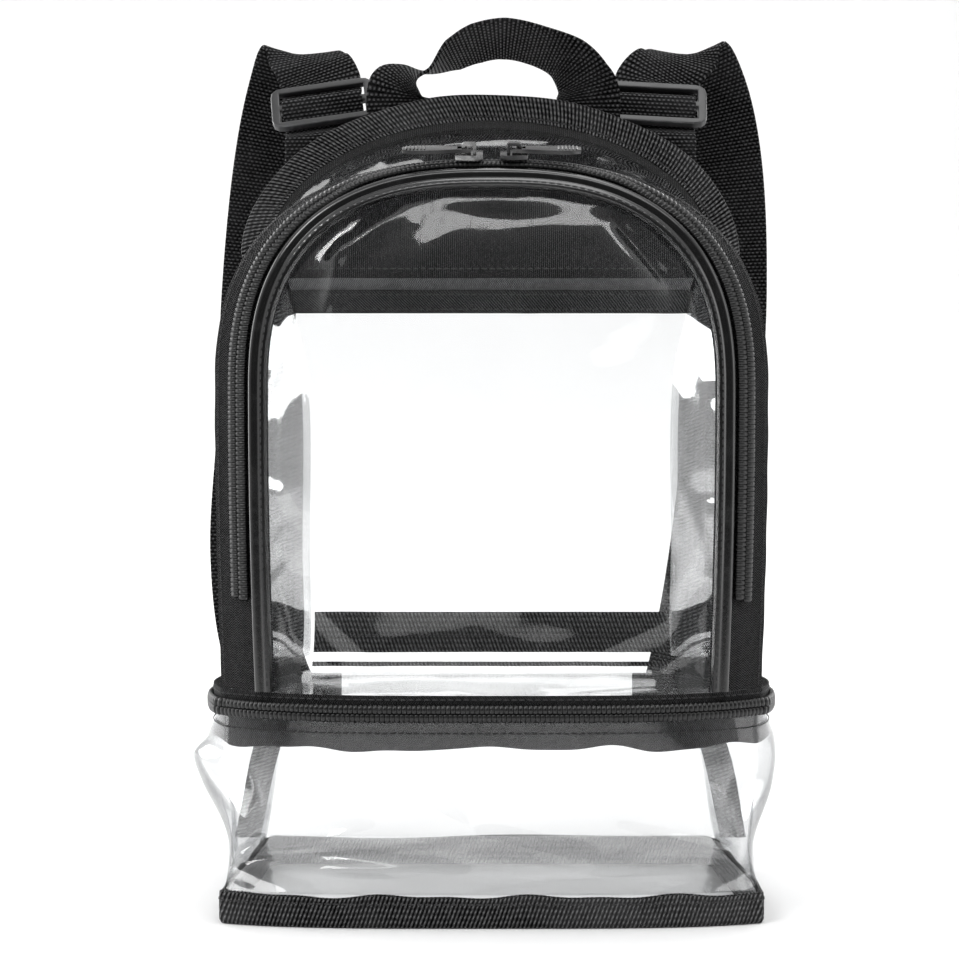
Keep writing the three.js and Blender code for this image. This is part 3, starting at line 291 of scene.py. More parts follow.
def shell_data(outer, inner, loop=False):
    """Points, faces and UVs of a closed sheet between two grids of the same size."""
    m, n = outer.shape[:2]
    verts = np.concatenate([outer.reshape(-1, 3), inner.reshape(-1, 3)])
    u, v = lengths(outer, 0) * MM, lengths(outer, 1) * MM
    uv = np.stack(np.meshgrid(u, v, indexing="ij"), -1).reshape(-1, 2)
    faces = []
    rows = m if loop else m - 1
    at = lambda i, j, k: k * m * n + (i % m) * n + j
    for i in range(rows):
        for j in range(n - 1):
            faces.append((at(i, j, 0), at(i + 1, j, 0), at(i + 1, j + 1, 0), at(i, j + 1, 0)))
            faces.append((at(i, j, 1), at(i, j + 1, 1), at(i + 1, j + 1, 1), at(i + 1, j, 1)))
        faces.append((at(i, 0, 0), at(i, 0, 1), at(i + 1, 0, 1), at(i + 1, 0, 0)))
        faces.append((at(i, n - 1, 0), at(i + 1, n - 1, 0), at(i + 1, n - 1, 1), at(i, n - 1, 1)))
    if not loop:
        for j in range(n - 1):
            faces.append((at(0, j, 0), at(0, j + 1, 0), at(0, j + 1, 1), at(0, j, 1)))
            faces.append((at(m - 1, j, 0), at(m - 1, j, 1), at(m - 1, j + 1, 1), at(m - 1, j + 1, 0)))
    return verts, faces, np.concatenate([uv, uv])


def shell(name, outer, inner, material, slot, replaces=(), loop=False, **rest):
    verts, faces, uvs = shell_data(outer, inner, loop)
    return build(name, verts, faces, uvs, material, slot, replaces, **rest)


def loft_data(rings, across=None, loop=False):
    """Points, faces and UVs of a tube through closed rings of points."""
    m, n = rings.shape[:2]
    u = lengths(rings, 0) * MM
    if across is None:
        across = np.arange(n) * np.linalg.norm(rings[0, 0] - rings[0, 1])
    uv = np.stack(np.meshgrid(u, np.asarray(across, float) * MM, indexing="ij"), -1).reshape(-1, 2)
    faces = []
    for i in range(m if loop else m - 1):
        for j in range(n):
            a, b = i * n + j, i * n + (j + 1) % n
            c, d = ((i + 1) % m) * n + (j + 1) % n, ((i + 1) % m) * n + j
            faces.append((a, b, c, d))
    if not loop:
        faces.append(tuple(range(n))[::-1])
        faces.append(tuple((m - 1) * n + j for j in range(n)))
    return rings.reshape(-1, 3), faces, uv


def loft(name, rings, material, slot, replaces=(), across=None, loop=False, **rest):
    verts, faces, uvs = loft_data(rings, across, loop)
    return build(name, verts, faces, uvs, material, slot, replaces, **rest)


def merge(parts):
    verts, faces, uvs, start = [], [], [], 0
    for v, f, uv in parts:
        verts.append(v)
        faces.extend(tuple(i + start for i in face) for face in f)
        uvs.append(uv)
        start += len(v)
    return np.concatenate(verts), faces, np.concatenate(uvs)


def flat_profile(width, thickness, columns=8, edge=3):
    """Closed outline of webbing: (across, up) pairs with rounded edges."""
    r = thickness / 2
    xs = np.linspace(-width / 2 + r, width / 2 - r, columns + 1)
    angles = np.linspace(math.pi / 2, -math.pi / 2, edge + 2)[1:-1]
    top = [(x, r) for x in xs]
    right = [(width / 2 - r + r * math.cos(a), r * math.sin(a)) for a in angles]
    bottom = [(x, -r) for x in xs[::-1]]
    left = [(-width / 2 + r - r * math.cos(a), -r * math.sin(a)) for a in angles]
    return np.array(top + right + bottom + left)


def capsules(starts, ends, up, radius, flat=0.8, sides=6):
    """Small rounded bars from starts to ends, as one mesh. up points away from what they lie on."""
    axis = ends - starts
    length = np.linalg.norm(axis, axis=1, keepdims=True)
    axis = axis / length
    across = np.cross(axis, up)
    across /= np.linalg.norm(across, axis=1, keepdims=True)
    rise = np.cross(across, axis)
    levels = [(0.0, 0.35), (0.12, 0.85), (0.5, 1.0), (0.88, 0.85), (1.0, 0.35)]
    angles = np.arange(sides) / sides * 2 * math.pi
    count, rings = len(starts), len(levels)
    verts = np.zeros((count, rings, sides, 3))
    for k, (t, r) in enumerate(levels):
        for j, a in enumerate(angles):
            verts[:, k, j] = starts + axis * length * t + (across * math.cos(a) + rise * math.sin(a) * flat) * radius * r
    faces = []
    for i in range(count):
        base = i * rings * sides
        for k in range(rings - 1):
            for j in range(sides):
                a, b = base + k * sides + j, base + k * sides + (j + 1) % sides
                faces.append((a, a + sides, b + sides, b))
        faces.append(tuple(base + j for j in range(sides)))
        faces.append(tuple(base + (rings - 1) * sides + j for j in range(sides))[::-1])
    verts = verts.reshape(-1, 3)
    return verts, faces, np.zeros((len(verts), 2))


# Materials
class Shade:
    """A material's node tree with short ways to add nodes."""

    def __init__(self, name):
        self.material = bpy.data.materials.new(name)
        self.material.use_nodes = True
        self.tree = self.material.node_tree
        self.tree.nodes.clear()

    def put(self, socket, value):
        if isinstance(value, bpy.types.NodeSocket):
            self.tree.links.new(value, socket)
        elif value is not None:
            socket.default_value = value

    def add(self, kind, inputs=None, **settings):
        node = self.tree.nodes.new(kind)
        for key, value in settings.items():
            setattr(node, key, value)
        for key, value in (inputs or {}).items():
            self.put(node.inputs[key], value)
        return node

    def math(self, operation, a, b=None, c=None):
        node = self.add("ShaderNodeMath", operation=operation)
        for socket, value in zip(node.inputs, (a, b, c)):
            self.put(socket, value)
        return node.outputs[0]

    def uv(self):
        split = self.add("ShaderNodeSeparateXYZ", {0: self.add("ShaderNodeTexCoord").outputs["UV"]})
        return split.outputs[0], split.outputs[1]

    def wave(self, along, pitch, phase=0.0):
        """Even ridges from 0 to 1 along a length in metres."""
        turn = self.math("MULTIPLY", along, 2 * math.pi / pitch)
        return self.math("MULTIPLY_ADD", self.math("SINE", self.math("ADD", turn, phase)), 0.5, 0.5)

    def noise(self, scale, detail=3.0, rough=0.55, distort=0.0, vector=None):
        if vector is None:
            vector = self.add("ShaderNodeTexCoord").outputs["Object"]
        node = self.add("ShaderNodeTexNoise", {"Vector": vector, "Scale": scale, "Detail": detail,
                                               "Roughness": rough, "Distortion": distort})
        return node.outputs[0]

    def ramp(self, value, low, high, to_low=0.0, to_high=1.0):
        node = self.add("ShaderNodeMapRange", {0: value, 1: low, 2: high, 3: to_low, 4: to_high})
        return node.outputs[0]

    def mix_colour(self, factor, a, b):
        node = self.add("ShaderNodeMix", data_type="RGBA")
        self.put(node.inputs[0], factor)
        self.put(node.inputs[6], (*a, 1) if isinstance(a, tuple) else a)
        self.put(node.inputs[7], (*b, 1) if isinstance(b, tuple) else b)
        return node.outputs[2]

    def bump(self, height, distance, strength=1.0, normal=None):
        node = self.add("ShaderNodeBump", {"Strength": strength, "Distance": distance, "Height": height})
        if normal is not None:
            self.put(node.inputs["Normal"], normal)
        return node.outputs[0]

    def finish(self, shader):
        out = self.add("ShaderNodeOutputMaterial")
        self.tree.links.new(shader, out.inputs[0])
        return self.material


def cloth(name, dark, light, height_of, depth, roughness=0.8, sheen=0.015, wear=0.12):
    """Woven black cloth, with painted highlights on the weave's crowns and painted shade in its hollows. height_of
    gives the weave's relief from 0 to 1 from the UVs in metres.
    """
    s = Shade(name)
    u, v = s.uv()
    height = height_of(s, u, v)
    fuzz = s.noise(900.0, 2.0)
    patch = s.noise(28.0, 3.0)
    # Colour follows the relief: the weave's crowns are painted lighter as a highlight and its hollows darker as shade,
    # with a random fibre tone from fuzz.
    fuzz_and_crown_highlight = s.math("MULTIPLY_ADD", s.ramp(fuzz, 0.3, 0.7), 0.3, s.math("MULTIPLY", height, 0.8))
    fuzz_and_crown_highlight = s.math("POWER", fuzz_and_crown_highlight, 2.4)
    colour = s.mix_colour(fuzz_and_crown_highlight, dark, light)
    faded = s.mix_colour(s.ramp(patch, 0.45, 0.75, 0.0, wear), colour, tuple(min(1, c * 1.6) for c in light))
    relief = s.math("MULTIPLY_ADD", fuzz, 0.25, height)
    shader = s.add("ShaderNodeBsdfPrincipled", {
        "Base Color": faded,
        "Roughness": s.ramp(height, 0.0, 1.0, min(1, roughness + 0.12), roughness - 0.12),
        "Sheen Weight": sheen,
        "Sheen Roughness": 0.4,
        "Specular IOR Level": s.ramp(fuzz_and_crown_highlight, 0.0, 0.6, 0.01, 0.3),
        "Normal": s.bump(relief, depth),
    })
    return s.finish(shader.outputs[0])


def webbing_weave(s, u, v):
    ribs = s.wave(u, 0.00145)
    rows = s.math("FLOOR", s.math("DIVIDE", u, 0.00145))
    cords = s.math("POWER", s.wave(v, 0.0018, s.math("MULTIPLY", rows, math.pi)), 0.7)
    return s.math("MULTIPLY", s.math("POWER", ribs, 0.8), s.math("MULTIPLY_ADD", cords, 0.75, 0.25))


def binding_weave(s, u, v):
    ribs = s.wave(s.math("MULTIPLY_ADD", v, 0.35, u), 0.0015)
    cords = s.wave(v, 0.0021)
    return s.math("MULTIPLY", s.math("POWER", ribs, 0.9), s.math("MULTIPLY_ADD", cords, 0.45, 0.55))


def herringbone(s, u, v):
    zigzag = s.math("PINGPONG", v, 0.0011)
    return s.wave(s.math("ADD", u, zigzag), 0.0009)


def plain_weave(s, u, v):
    ribs = s.math("POWER", s.wave(u, 0.00078), 0.8)
    picks = s.wave(v, 0.00064, s.math("MULTIPLY", s.math("FLOOR", s.math("DIVIDE", u, 0.00078)), math.pi))
    return s.math("MULTIPLY", ribs, s.math("MULTIPLY_ADD", picks, 0.5, 0.5))


def twill(s, u, v):
    return s.wave(s.math("MULTIPLY_ADD", v, 0.9, u), 0.0012)


# Each cloth's second colour is the painted highlight on its weave's crowns and, brightened, the tone of its worn
# patches; the first is its black, which also stands for painted shade in the hollows.
webbing = cloth("webbing", (0.0008, 0.0008, 0.0009), (0.1, 0.1, 0.104), webbing_weave, 0.0012, 0.6)
binding = cloth("binding_webbing", (0.0008, 0.0008, 0.0009), (0.22, 0.22, 0.224), binding_weave, 0.0012, 0.58)
yoke_cloth = cloth("yoke_cloth", (0.0005, 0.0005, 0.0006), (0.05, 0.05, 0.052), plain_weave, 0.0003, 0.7)
zip_tape = cloth("zip_tape", (0.0008, 0.0008, 0.0009), (0.05, 0.05, 0.052), herringbone, 0.0004, 0.62)
lower_tape = cloth("lower_tape", (0.002, 0.002, 0.0022), (0.14, 0.14, 0.143), herringbone, 0.0003, 0.62)
twill_band = cloth("twill_band", (0.0006, 0.0006, 0.0007), (0.05, 0.05, 0.052), twill, 0.0003, 0.66)
pale_tape = cloth("pale_tape", (0.02, 0.02, 0.021), (0.22, 0.22, 0.225), herringbone, 0.0003, 0.6)


def plastic(name, colour, roughness, grain, depth, metallic=0.0, coat=0.0, edge=None):
    """Moulded plastic or lacquered metal with fine grain, scuffs and worn edges."""
    s = Shade(name)
    fine = s.noise(grain, 4.0, 0.6)
    scuff = s.noise(70.0, 5.0, 0.7, 0.6)
    mask = s.ramp(scuff, 0.52, 0.72)
    base = s.mix_colour(s.math("MULTIPLY", mask, 0.5), colour, tuple(min(1, c * 1.9 + 0.01) for c in colour))
    if edge:
        sharp = s.ramp(s.add("ShaderNodeNewGeometry").outputs["Pointiness"], 0.52, 0.6)
        base = s.mix_colour(s.math("MULTIPLY", sharp, s.ramp(scuff, 0.35, 0.6)), base, edge)
    shader = s.add("ShaderNodeBsdfPrincipled", {
        "Base Color": base,
        "Metallic": metallic,
        "Roughness": s.math("MULTIPLY_ADD", s.math("ADD", fine, mask), 0.12, roughness - 0.06),
        "Coat Weight": coat,
        "Coat Roughness": 0.12,
        "Normal": s.bump(fine, depth),
    })
    return s.finish(shader.outputs[0])


coil_plastic = plastic("coil_nylon", (0.004, 0.004, 0.0043), 0.3, 1500.0, 0.00004)
piping_vinyl = plastic("piping_vinyl", (0.002, 0.002, 0.0022), 0.16, 260.0, 0.00006, coat=0.6)
buckle_plastic = plastic("buckle_plastic", (0.02, 0.02, 0.021), 0.34, 2400.0, 0.00003, edge=(0.16, 0.16, 0.165))
slider_metal = plastic("slider_metal", (0.006, 0.006, 0.0065), 0.24, 900.0, 0.00003, 0.75, 0.3, (0.5, 0.5, 0.5))
thread = plastic("thread", (0.02, 0.02, 0.021), 0.6, 3000.0, 0.00005)


def vinyl(name, tint, haze, gloss, wrinkle, ior=1.5, shine_share=1.0, density=0.8):
    """Clear glossy film: what it lets through, its gloss by Fresnel and a faint haze of scuffs."""
    s = Shade(name)
    where = s.add("ShaderNodeTexCoord").outputs["Object"]
    broad = s.noise(14.0, 1.0, 0.5, 0.8, where)
    fine = s.noise(90.0, 0.0, 0.5, 0.0, where)
    scratches = s.noise(420.0, 0.0, 0.5, 0.0, s.add("ShaderNodeMapping", {"Vector": where, "Scale": (1.0, 1.0, 0.06)}).outputs[0])
    normal = s.bump(s.math("MULTIPLY_ADD", fine, 0.06, broad), wrinkle)
    rough = s.math("MULTIPLY_ADD", s.ramp(scratches, 0.5, 0.75), 0.1, gloss)
    shine = s.add("ShaderNodeBsdfGlossy", {"Color": (1, 1, 1, 1), "Roughness": rough, "Normal": normal})
    edge = s.add("ShaderNodeLayerWeight", {"Blend": 0.5, "Normal": normal}).outputs["Facing"]
    thick = s.math("MULTIPLY", s.math("POWER", edge, 4.0), density)
    through = s.add("ShaderNodeBsdfTransparent", {"Color": s.mix_colour(thick, tint, (0.3, 0.31, 0.32))})
    film = s.add("ShaderNodeBsdfTranslucent", {"Color": (0.9, 0.92, 0.93, 1), "Normal": normal})
    patches = s.ramp(s.noise(22.0, 1.0, 0.65, 0.4, where), 0.48, 0.8, haze * 0.4, haze * 1.8)
    body = s.add("ShaderNodeMixShader", {0: patches, 1: through.outputs[0], 2: film.outputs[0]})
    # From inside the film the node would see glass to air, so its index is turned round there
    inside = s.add("ShaderNodeNewGeometry").outputs["Backfacing"]
    fresnel = s.add("ShaderNodeFresnel", {"IOR": s.ramp(inside, 0.0, 1.0, ior, 1 / ior), "Normal": normal})
    share = s.math("MULTIPLY", fresnel.outputs[0], shine_share)
    whole = s.add("ShaderNodeMixShader", {0: share, 1: body.outputs[0], 2: shine.outputs[0]})
    return s.finish(whole.outputs[0])


clear = vinyl("clear_vinyl", (0.985, 0.987, 0.988), 0.008, 0.03, 0.0022, 1.5, 0.9, 0.4)
floor_clear = vinyl("floor_vinyl", (0.988, 0.99, 0.991), 0.01, 0.04, 0.003, 1.45, 0.6, 0.12)
soft_clear = vinyl("soft_clear_vinyl", (0.982, 0.984, 0.986), 0.012, 0.035, 0.004, 1.55, 0.6)
gusset_clear = vinyl("gusset_vinyl", (0.98, 0.982, 0.984), 0.02, 0.03, 0.003, 2.0)


# Folds: soft ridges along lines on a sheet
def folds(x, z, lines):
    """Sum of ridges at points x, z. Each line is (x0, z0, x1, z1, width, height)."""
    total = np.zeros(np.broadcast(x, z).shape)
    for x0, z0, x1, z1, width, height in lines:
        dx, dz = x1 - x0, z1 - z0
        length = math.hypot(dx, dz)
        t = ((x - x0) * dx + (z - z0) * dz) / length**2
        off = ((x - x0) * dz - (z - z0) * dx) / length
        fade = np.clip(np.minimum(t, 1 - t) * 2.5 + 0.15, 0, 1)
        past = np.clip(np.maximum(-t, t - 1), 0, None) * length
        total += height * smooth(fade) * np.exp(-np.abs(off / width) ** 1.6) * np.exp(-(past / (2 * width)) ** 2)
    return total


def ripples(x, z, seed, size, height, count=9):
    """Seeded broad undulation of a sheet."""
    draw = np.random.default_rng(seed)
    total = np.zeros(np.broadcast(x, z).shape)
    for _ in range(count):
        angle, phase = draw.uniform(0, 2 * math.pi, 2)
        wave = size * draw.uniform(0.6, 1.8)
        total += np.sin((x * math.cos(angle) + z * math.sin(angle)) * 2 * math.pi / wave + phase) * wave / size
    return height * total / count


# Clear front door
def door_sheet():
    rows, columns = 110, 110
    top = FRONT_HEIGHT - top_inset(DOOR_INSET) - 1
    rise = np.sin(np.linspace(0, 1, rows) * math.pi / 2)
    z = lerp(FRONT_FOOT, top, rise)[:, None]
    half = inset_half(z, DOOR_INSET)
    s = np.linspace(-1, 1, columns)[None]
    x = half * s
    z = np.broadcast_to(z, x.shape)
    edge = smooth(np.minimum((1 - np.abs(s)) * half / 14, (z - FRONT_FOOT) / 10))
    edge = edge * smooth((top - z) / 12)
    lift = ripples(x, z, 3, 60, 1.4) + ripples(x, z, 5, 22, 0.35)
    lift = lift + folds(x, z, [
        (-64, 232, -30, 256, 3.2, 2.4), (-52, 246, -60, 214, 2.6, 2.2), (40, 258, 70, 222, 3.4, -2.4),
        (66, 240, 78, 190, 2.8, 2.2), (30, 262, 64, 246, 3.0, 1.8), (-20, 261, 14, 259, 3.0, 1.4),
        (-80, 200, -74, 150, 2.6, 1.6), (78, 176, 74, 128, 2.6, 1.4), (-78, 130, -66, 96, 2.6, 2.2),
        (-70, 122, -40, 94, 2.4, 1.6), (76, 128, 60, 94, 2.6, -2.0), (70, 112, 30, 96, 2.6, 1.6),
        (-60, 97, 58, 95, 3.2, 1.2), (-76, 108, -56, 92, 1.8, 1.6), (74, 104, 58, 91, 1.8, 1.6),
    ])
    lift = lift * edge - 1.2 * edge
    outer = front_point(x, z, VINYL * 0.75 + lift)
    inner = front_point(x, z, VINYL * 0.25 + lift)
    return shell("door_sheet", outer, inner, clear, "clear_vinyl", ["front_door"])


# Clear gusset from the zip's tape over to the back seam, with its seam allowance
def gusset_sheet():
    steps, across = 220, 40
    share = np.linspace(0, 1, steps)
    lap = arch_point(share, FRONT_ARCH, COIL_INSET + COIL_WIDTH / 2)
    rim_front = arch_point(share, FRONT_ARCH, 0.6)
    upper_back = (FRONT_FOOT, *BACK_ARCH[1:])
    seam = arch_point(share, upper_back, SEAM_INSET)
    rim = arch_point(share, upper_back, SLOT_INSET)
    out = np.stack([lap[0], np.zeros(steps), np.maximum(lap[1] - FRONT_SHOULDER_HEIGHT, 0)], -1)
    out /= np.linalg.norm(out, axis=1, keepdims=True)
    start = front_point(*rim_front, 0)
    end = np.stack([seam[0], np.full(steps, FLANGE_Y), seam[1]], -1)
    flare = ZIP_FLARE * np.exp(-(start[:, 2] - FRONT_FOOT) / FLARE_REACH)
    t = np.linspace(0, 1, across)[None, :, None]
    wall = start[:, None] + (end - start)[:, None] * t
    swell = np.sin(math.pi * t[..., 0]) * (flare + GUSSET_SWELL)[:, None]
    u = np.linspace(-1, 1, steps)[:, None] * 230
    v = t[..., 0] * 110
    edge = smooth(np.minimum(t[..., 0], 1 - t[..., 0]) * 8) * smooth(np.minimum(share, 1 - share)[:, None] * 30)
    crease = folds(u, v, [
        (-60, 10, -42, 90, 4.0, -3.2), (-44, 6, -30, 70, 3.0, 2.6), (-96, 20, -80, 96, 4.4, 3.0),
        (44, 12, 66, 96, 4.4, -3.4), (60, 4, 92, 84, 3.4, 3.0), (100, 14, 128, 90, 4.0, -2.6),
        (20, 20, 40, 80, 4.0, -1.8), (-130, 10, -120, 90, 4.0, 2.0), (-150, 30, -172, 88, 4.0, -2.2),
        (150, 26, 170, 88, 4.0, 2.2), (190, 20, 200, 90, 4.0, -2.0), (-200, 16, -190, 90, 4.0, 2.0),
    ])
    swell = swell + edge * (0.6 * crease + ripples(u, v, 11, 90, 1.4) - 0.6)
    wall = wall + out[:, None] * swell[..., None]
    lap_row = front_point(*lap, 0.3)
    rim_row = np.stack([rim[0], np.full(steps, FLANGE_Y - 0.2), rim[1]], -1)
    grid = np.concatenate([lap_row[:, None], wall, rim_row[:, None]], 1)
    n = normals_of(grid)
    toward = np.sign(np.einsum("ij,ij->i", n[:, across // 2], out))[:, None, None]
    offset = n * toward * 0.55
    offset[:, -1] = (0, -0.55, 0)
    offset[:, 0] = front_point(*lap, 0.85) - lap_row
    return shell("gusset_sheet", grid + offset, grid, gusset_clear, "clear_vinyl", ["gusset", "gusset_seam"])


def back_grid(low, high, inset, y, rows, columns, wave=0.0, seed=1):
    z = np.linspace(low, high, rows)[:, None]
    half = back_inset_half(z, inset)
    x = half * np.linspace(-1, 1, columns)[None]
    z = np.broadcast_to(z, x.shape)
    edge = smooth(np.minimum((half - np.abs(x)) / 16, 1))
    return np.stack([x, y + wave * edge * ripples(x, z, seed, 80, 1.0), z], -1)


def back_sheet():
    grid = back_grid(BACK_FOOT, YOKE_BOTTOM - CLEARANCE, SLOT_INSET, BACK_SHEET_Y + 0.7, 90, 60, 0.6, 21)
    return shell("back_sheet", grid, grid - (0, 0.5, 0), clear, "clear_vinyl", ["back_panel"])


def yoke_sheet():
    z = lerp(YOKE_BOTTOM, BACK_HEIGHT - SLOT_INSET - 1, np.sin(np.linspace(0, 1, 50) * math.pi / 2))[:, None]
    half = back_inset_half(z, SLOT_INSET)
    x = half * np.linspace(-1, 1, 70)[None]
    z = np.broadcast_to(z, x.shape)
    edge = smooth((half - np.abs(x)) / 14) * smooth((z - YOKE_BOTTOM) / 10)
    y = BACK_SHEET_Y + 0.9 + 0.5 * edge * ripples(x, z, 31, 50, 1.0)
    grid = np.stack([x, y, z], -1)
    piece = shell("yoke_cloth_panel", grid, grid - (0, 0.7, 0), yoke_cloth, "yoke_fabric", ["back_yoke"])
    flat_uv(piece)
    return piece


def flat_uv(obj):
    """UVs in metres straight from X and Z, so that a weave runs level and upright."""
    mesh = obj.data
    co = np.empty(len(mesh.vertices) * 3, np.float32)
    mesh.vertices.foreach_get("co", co)
    co = co.reshape(-1, 3)
    index = np.empty(len(mesh.loops), np.int32)
    mesh.loops.foreach_get("vertex_index", index)
    mesh.uv_layers[0].data.foreach_set("uv", co[index][:, [0, 2]].ravel())


def level_strip(name, low, height, thickness, material, slot, node):
    inset = SEAM_INSET + VINYL + CLEARANCE
    rows = 9
    z = np.linspace(low, low + height, rows)[:, None]
    half = back_inset_half(z, inset)
    x = half * np.linspace(-1, 1, 90)[None]
    z = np.broadcast_to(z, x.shape)
    puff = np.sin(np.linspace(0, math.pi, rows))[:, None] ** 0.5
    y = FLANGE_Y - 0.15 + 0 * x
    grid = np.stack([x, y, z], -1)
    front = grid.copy()
    front[..., 1] -= thickness * (0.45 + 0.55 * puff)
    front[..., 2] += 0.25 * ripples(x, z, 41, 30, 1.0)
    piece = shell(name, front.transpose(1, 0, 2), grid.transpose(1, 0, 2), material, slot, [node] if node else [])
    return piece


def u_binding(name, centre_rows, material, slot, node, loop):
    """Folded webbing: closed rings of a U section."""
    return loft(name, centre_rows, material, slot, [node], across=np.arange(centre_rows.shape[1]) * 1.9, loop=loop)


def back_binding_piece():
    share, _ = arch_shares(420, 2.0, arch=BACK_ARCH)
    slot_front = FLANGE_Y - VINYL - CLEARANCE
    wave = 0.25 * np.sin(np.linspace(0, 90, len(share))) + 0.2 * np.sin(np.linspace(0, 37, len(share)) + 1)
    front_y, back_y = slot_front - BINDING_WALL, BACK_Y
    mid = (front_y + back_y) / 2
    half = (back_y - front_y) / 2
    profile = []
    for inset in (BINDING_WIDTH, BINDING_WIDTH * 0.72, BINDING_WIDTH * 0.45, BINDING_WIDTH * 0.25):
        profile.append((inset, front_y - (0.12 if inset < BINDING_WIDTH else 0)))
    for angle in np.linspace(-60, 60, 5):
        a = math.radians(angle)
        profile.append((1.1 * (1 - math.cos(a)), mid + half * math.sin(a) * 1.02))
    for inset in (BINDING_WIDTH * 0.25, BINDING_WIDTH * 0.45, BINDING_WIDTH * 0.72, BINDING_WIDTH):
        profile.append((inset, back_y + (0.12 if inset < BINDING_WIDTH else 0)))
    for inset, y in ((BINDING_WIDTH, back_y - 0.9), (1.6, back_y - 0.9), (1.3, mid), (1.6, slot_front - 0.1),
                     (BINDING_WIDTH, slot_front - 0.1)):
        profile.append((inset, y))
    rings = np.zeros((len(share), len(profile), 3))
    for k, (inset, y) in enumerate(profile):
        x, z = arch_point(share, BACK_ARCH, inset + (wave if inset < BINDING_WIDTH else 0))
        rings[:, k] = np.stack([x, np.full_like(x, y), z], -1)
    width = np.concatenate([[0], np.cumsum(np.linalg.norm(np.diff(rings[0], axis=0), axis=1))])
    return loft("back_binding_tape", rings, binding, "webbing", ["back_binding"], across=width)


def base_ring(lift, z, front_shares):
    front = plan_point(front_shares, 0, lift)
    shrunk = float(back_inset_half(0, SEAM_INSET)) + lift
    back_x = np.linspace(shrunk, -shrunk, 42)[1:-1]
    back = np.stack([back_x, np.full(40, BACK_SHEET_Y + lift), np.zeros(40)], -1)
    ring = np.concatenate([front, back])
    ring[:, 2] = z
    return ring


def base_binding_piece():
    shares, _ = plan_shares(300, 0)
    near, far = -CLEARANCE, VINYL + CLEARANCE
    wall, top = BINDING_WALL, BASE_BINDING_HEIGHT
    profile = [(far + wall * 0.9, top), (far + wall * 1.1, top * 0.7), (far + wall * 1.1, top * 0.35), (far + wall, 1.2),
               (far + wall * 0.5, 0.3), (0.5, 0.0), (near - wall * 0.5, 0.3), (near - wall, 1.2),
               (near - wall, top * 0.5), (near - wall, top), (near, top), (near, 1.3), (far, 1.3), (far, top)]
    rings = np.stack([base_ring(lift, z, shares) for lift, z in profile], 1)
    run = np.arange(len(rings)) / len(rings) * 2 * math.pi
    sway = 0.5 * np.sin(run * 9) + 0.35 * np.sin(run * 17 + 2)
    high = rings[..., 2] > 2
    rings[..., 2] += np.where(high, sway[:, None] * rings[..., 2] / top, 0)
    width = np.concatenate([[0], np.cumsum(np.linalg.norm(np.diff(rings[0], axis=0), axis=1))])
    return loft("base_binding_tape", rings, binding, "webbing", ["base_binding"], across=width, loop=True)


def front_strip(name, inset_out, inset_in, low, high, material, slot, node, columns=8, count=420):
    shares, _ = arch_shares(count, (inset_out + inset_in) / 2)
    inset = np.linspace(inset_out, inset_in, columns + 1)
    x, z = arch_point(shares[:, None], FRONT_ARCH, inset[None])
    wave = 0.12 * np.sin(np.linspace(0, 140, count))[:, None] * np.linspace(1, 0, columns + 1)[None]
    return shell(name, front_point(x, z, high - 0.1 + wave), front_point(x, z, low + 0.1 + wave), material, slot, [node])


def coil_rows(frames, width, height, name, node):
    """Two rows of interlocking coil loops. frames gives centre, across and up for each pitch."""
    centre, across, up = frames
    onward = np.gradient(centre, axis=0)
    starts, ends, ups = [], [], []
    for side, offset in ((-1, 0.0), (1, 0.5)):
        mid = centre + onward * offset
        starts.append(mid + across * side * width * 0.47 + up * height * 0.30)
        ends.append(mid - across * side * width * 0.02 + up * height * 0.52)
        ups.append(up)
    starts, ends, ups = (np.concatenate(a) for a in (starts, ends, ups))
    bars = capsules(starts, ends, ups, height * 0.44, 1.0, 6)
    core = np.stack([centre - across * 0.9 + up * height * 0.2, centre + up * height * 0.46,
                     centre + across * 0.9 + up * height * 0.2, centre], 1)
    verts, faces, uvs = merge([bars, loft_data(core)])
    return build(name, verts, faces, uvs, coil_plastic, "zip_coil", [node], sharp=60, flip=False)


def main_coil():
    share = SIDE_SHARE * (COIL_END_HEIGHT - FRONT_FOOT) / (FRONT_SHOULDER_HEIGHT - FRONT_FOOT)
    middle = COIL_INSET + COIL_WIDTH / 2
    _, length = arch_shares(50, middle, share, 1 - share)
    shares, _ = arch_shares(int(length / 1.7), middle, share, 1 - share)
    x, z = arch_point(shares, FRONT_ARCH, middle)
    centre = front_point(x, z, TAPE_HIGH)
    outer = front_point(*arch_point(shares, FRONT_ARCH, middle - 1), TAPE_HIGH)
    across = outer - centre
    across /= np.linalg.norm(across, axis=1, keepdims=True)
    up = front_point(x, z, TAPE_HIGH + 1) - centre
    scale = np.linalg.norm(front_point(*arch_point(shares, FRONT_ARCH, COIL_INSET), TAPE_HIGH)
                           - front_point(*arch_point(shares, FRONT_ARCH, COIL_INSET + COIL_WIDTH), TAPE_HIGH), axis=1)
    return coil_rows((centre, across * (scale / COIL_WIDTH)[:, None], up), COIL_WIDTH, COIL_HEIGHT + LAP_CLEARANCE,
                     "main_zip_loops", "main_zip_coil")


def lower_coil():
    _, length = plan_shares(50, ZIP_HEIGHT)
    shares, _ = plan_shares(int(length / 1.7), ZIP_HEIGHT)
    centre = plan_point(shares, ZIP_HEIGHT, TAPE_HIGH)
    up = plan_point(shares, ZIP_HEIGHT, TAPE_HIGH + 1) - centre
    across = np.tile([0.0, 0.0, 1.0], (len(shares), 1))
    return coil_rows((centre, across, up), COIL_WIDTH, COIL_HEIGHT + LAP_CLEARANCE, "lower_zip_loops", "lower_zip_coil")


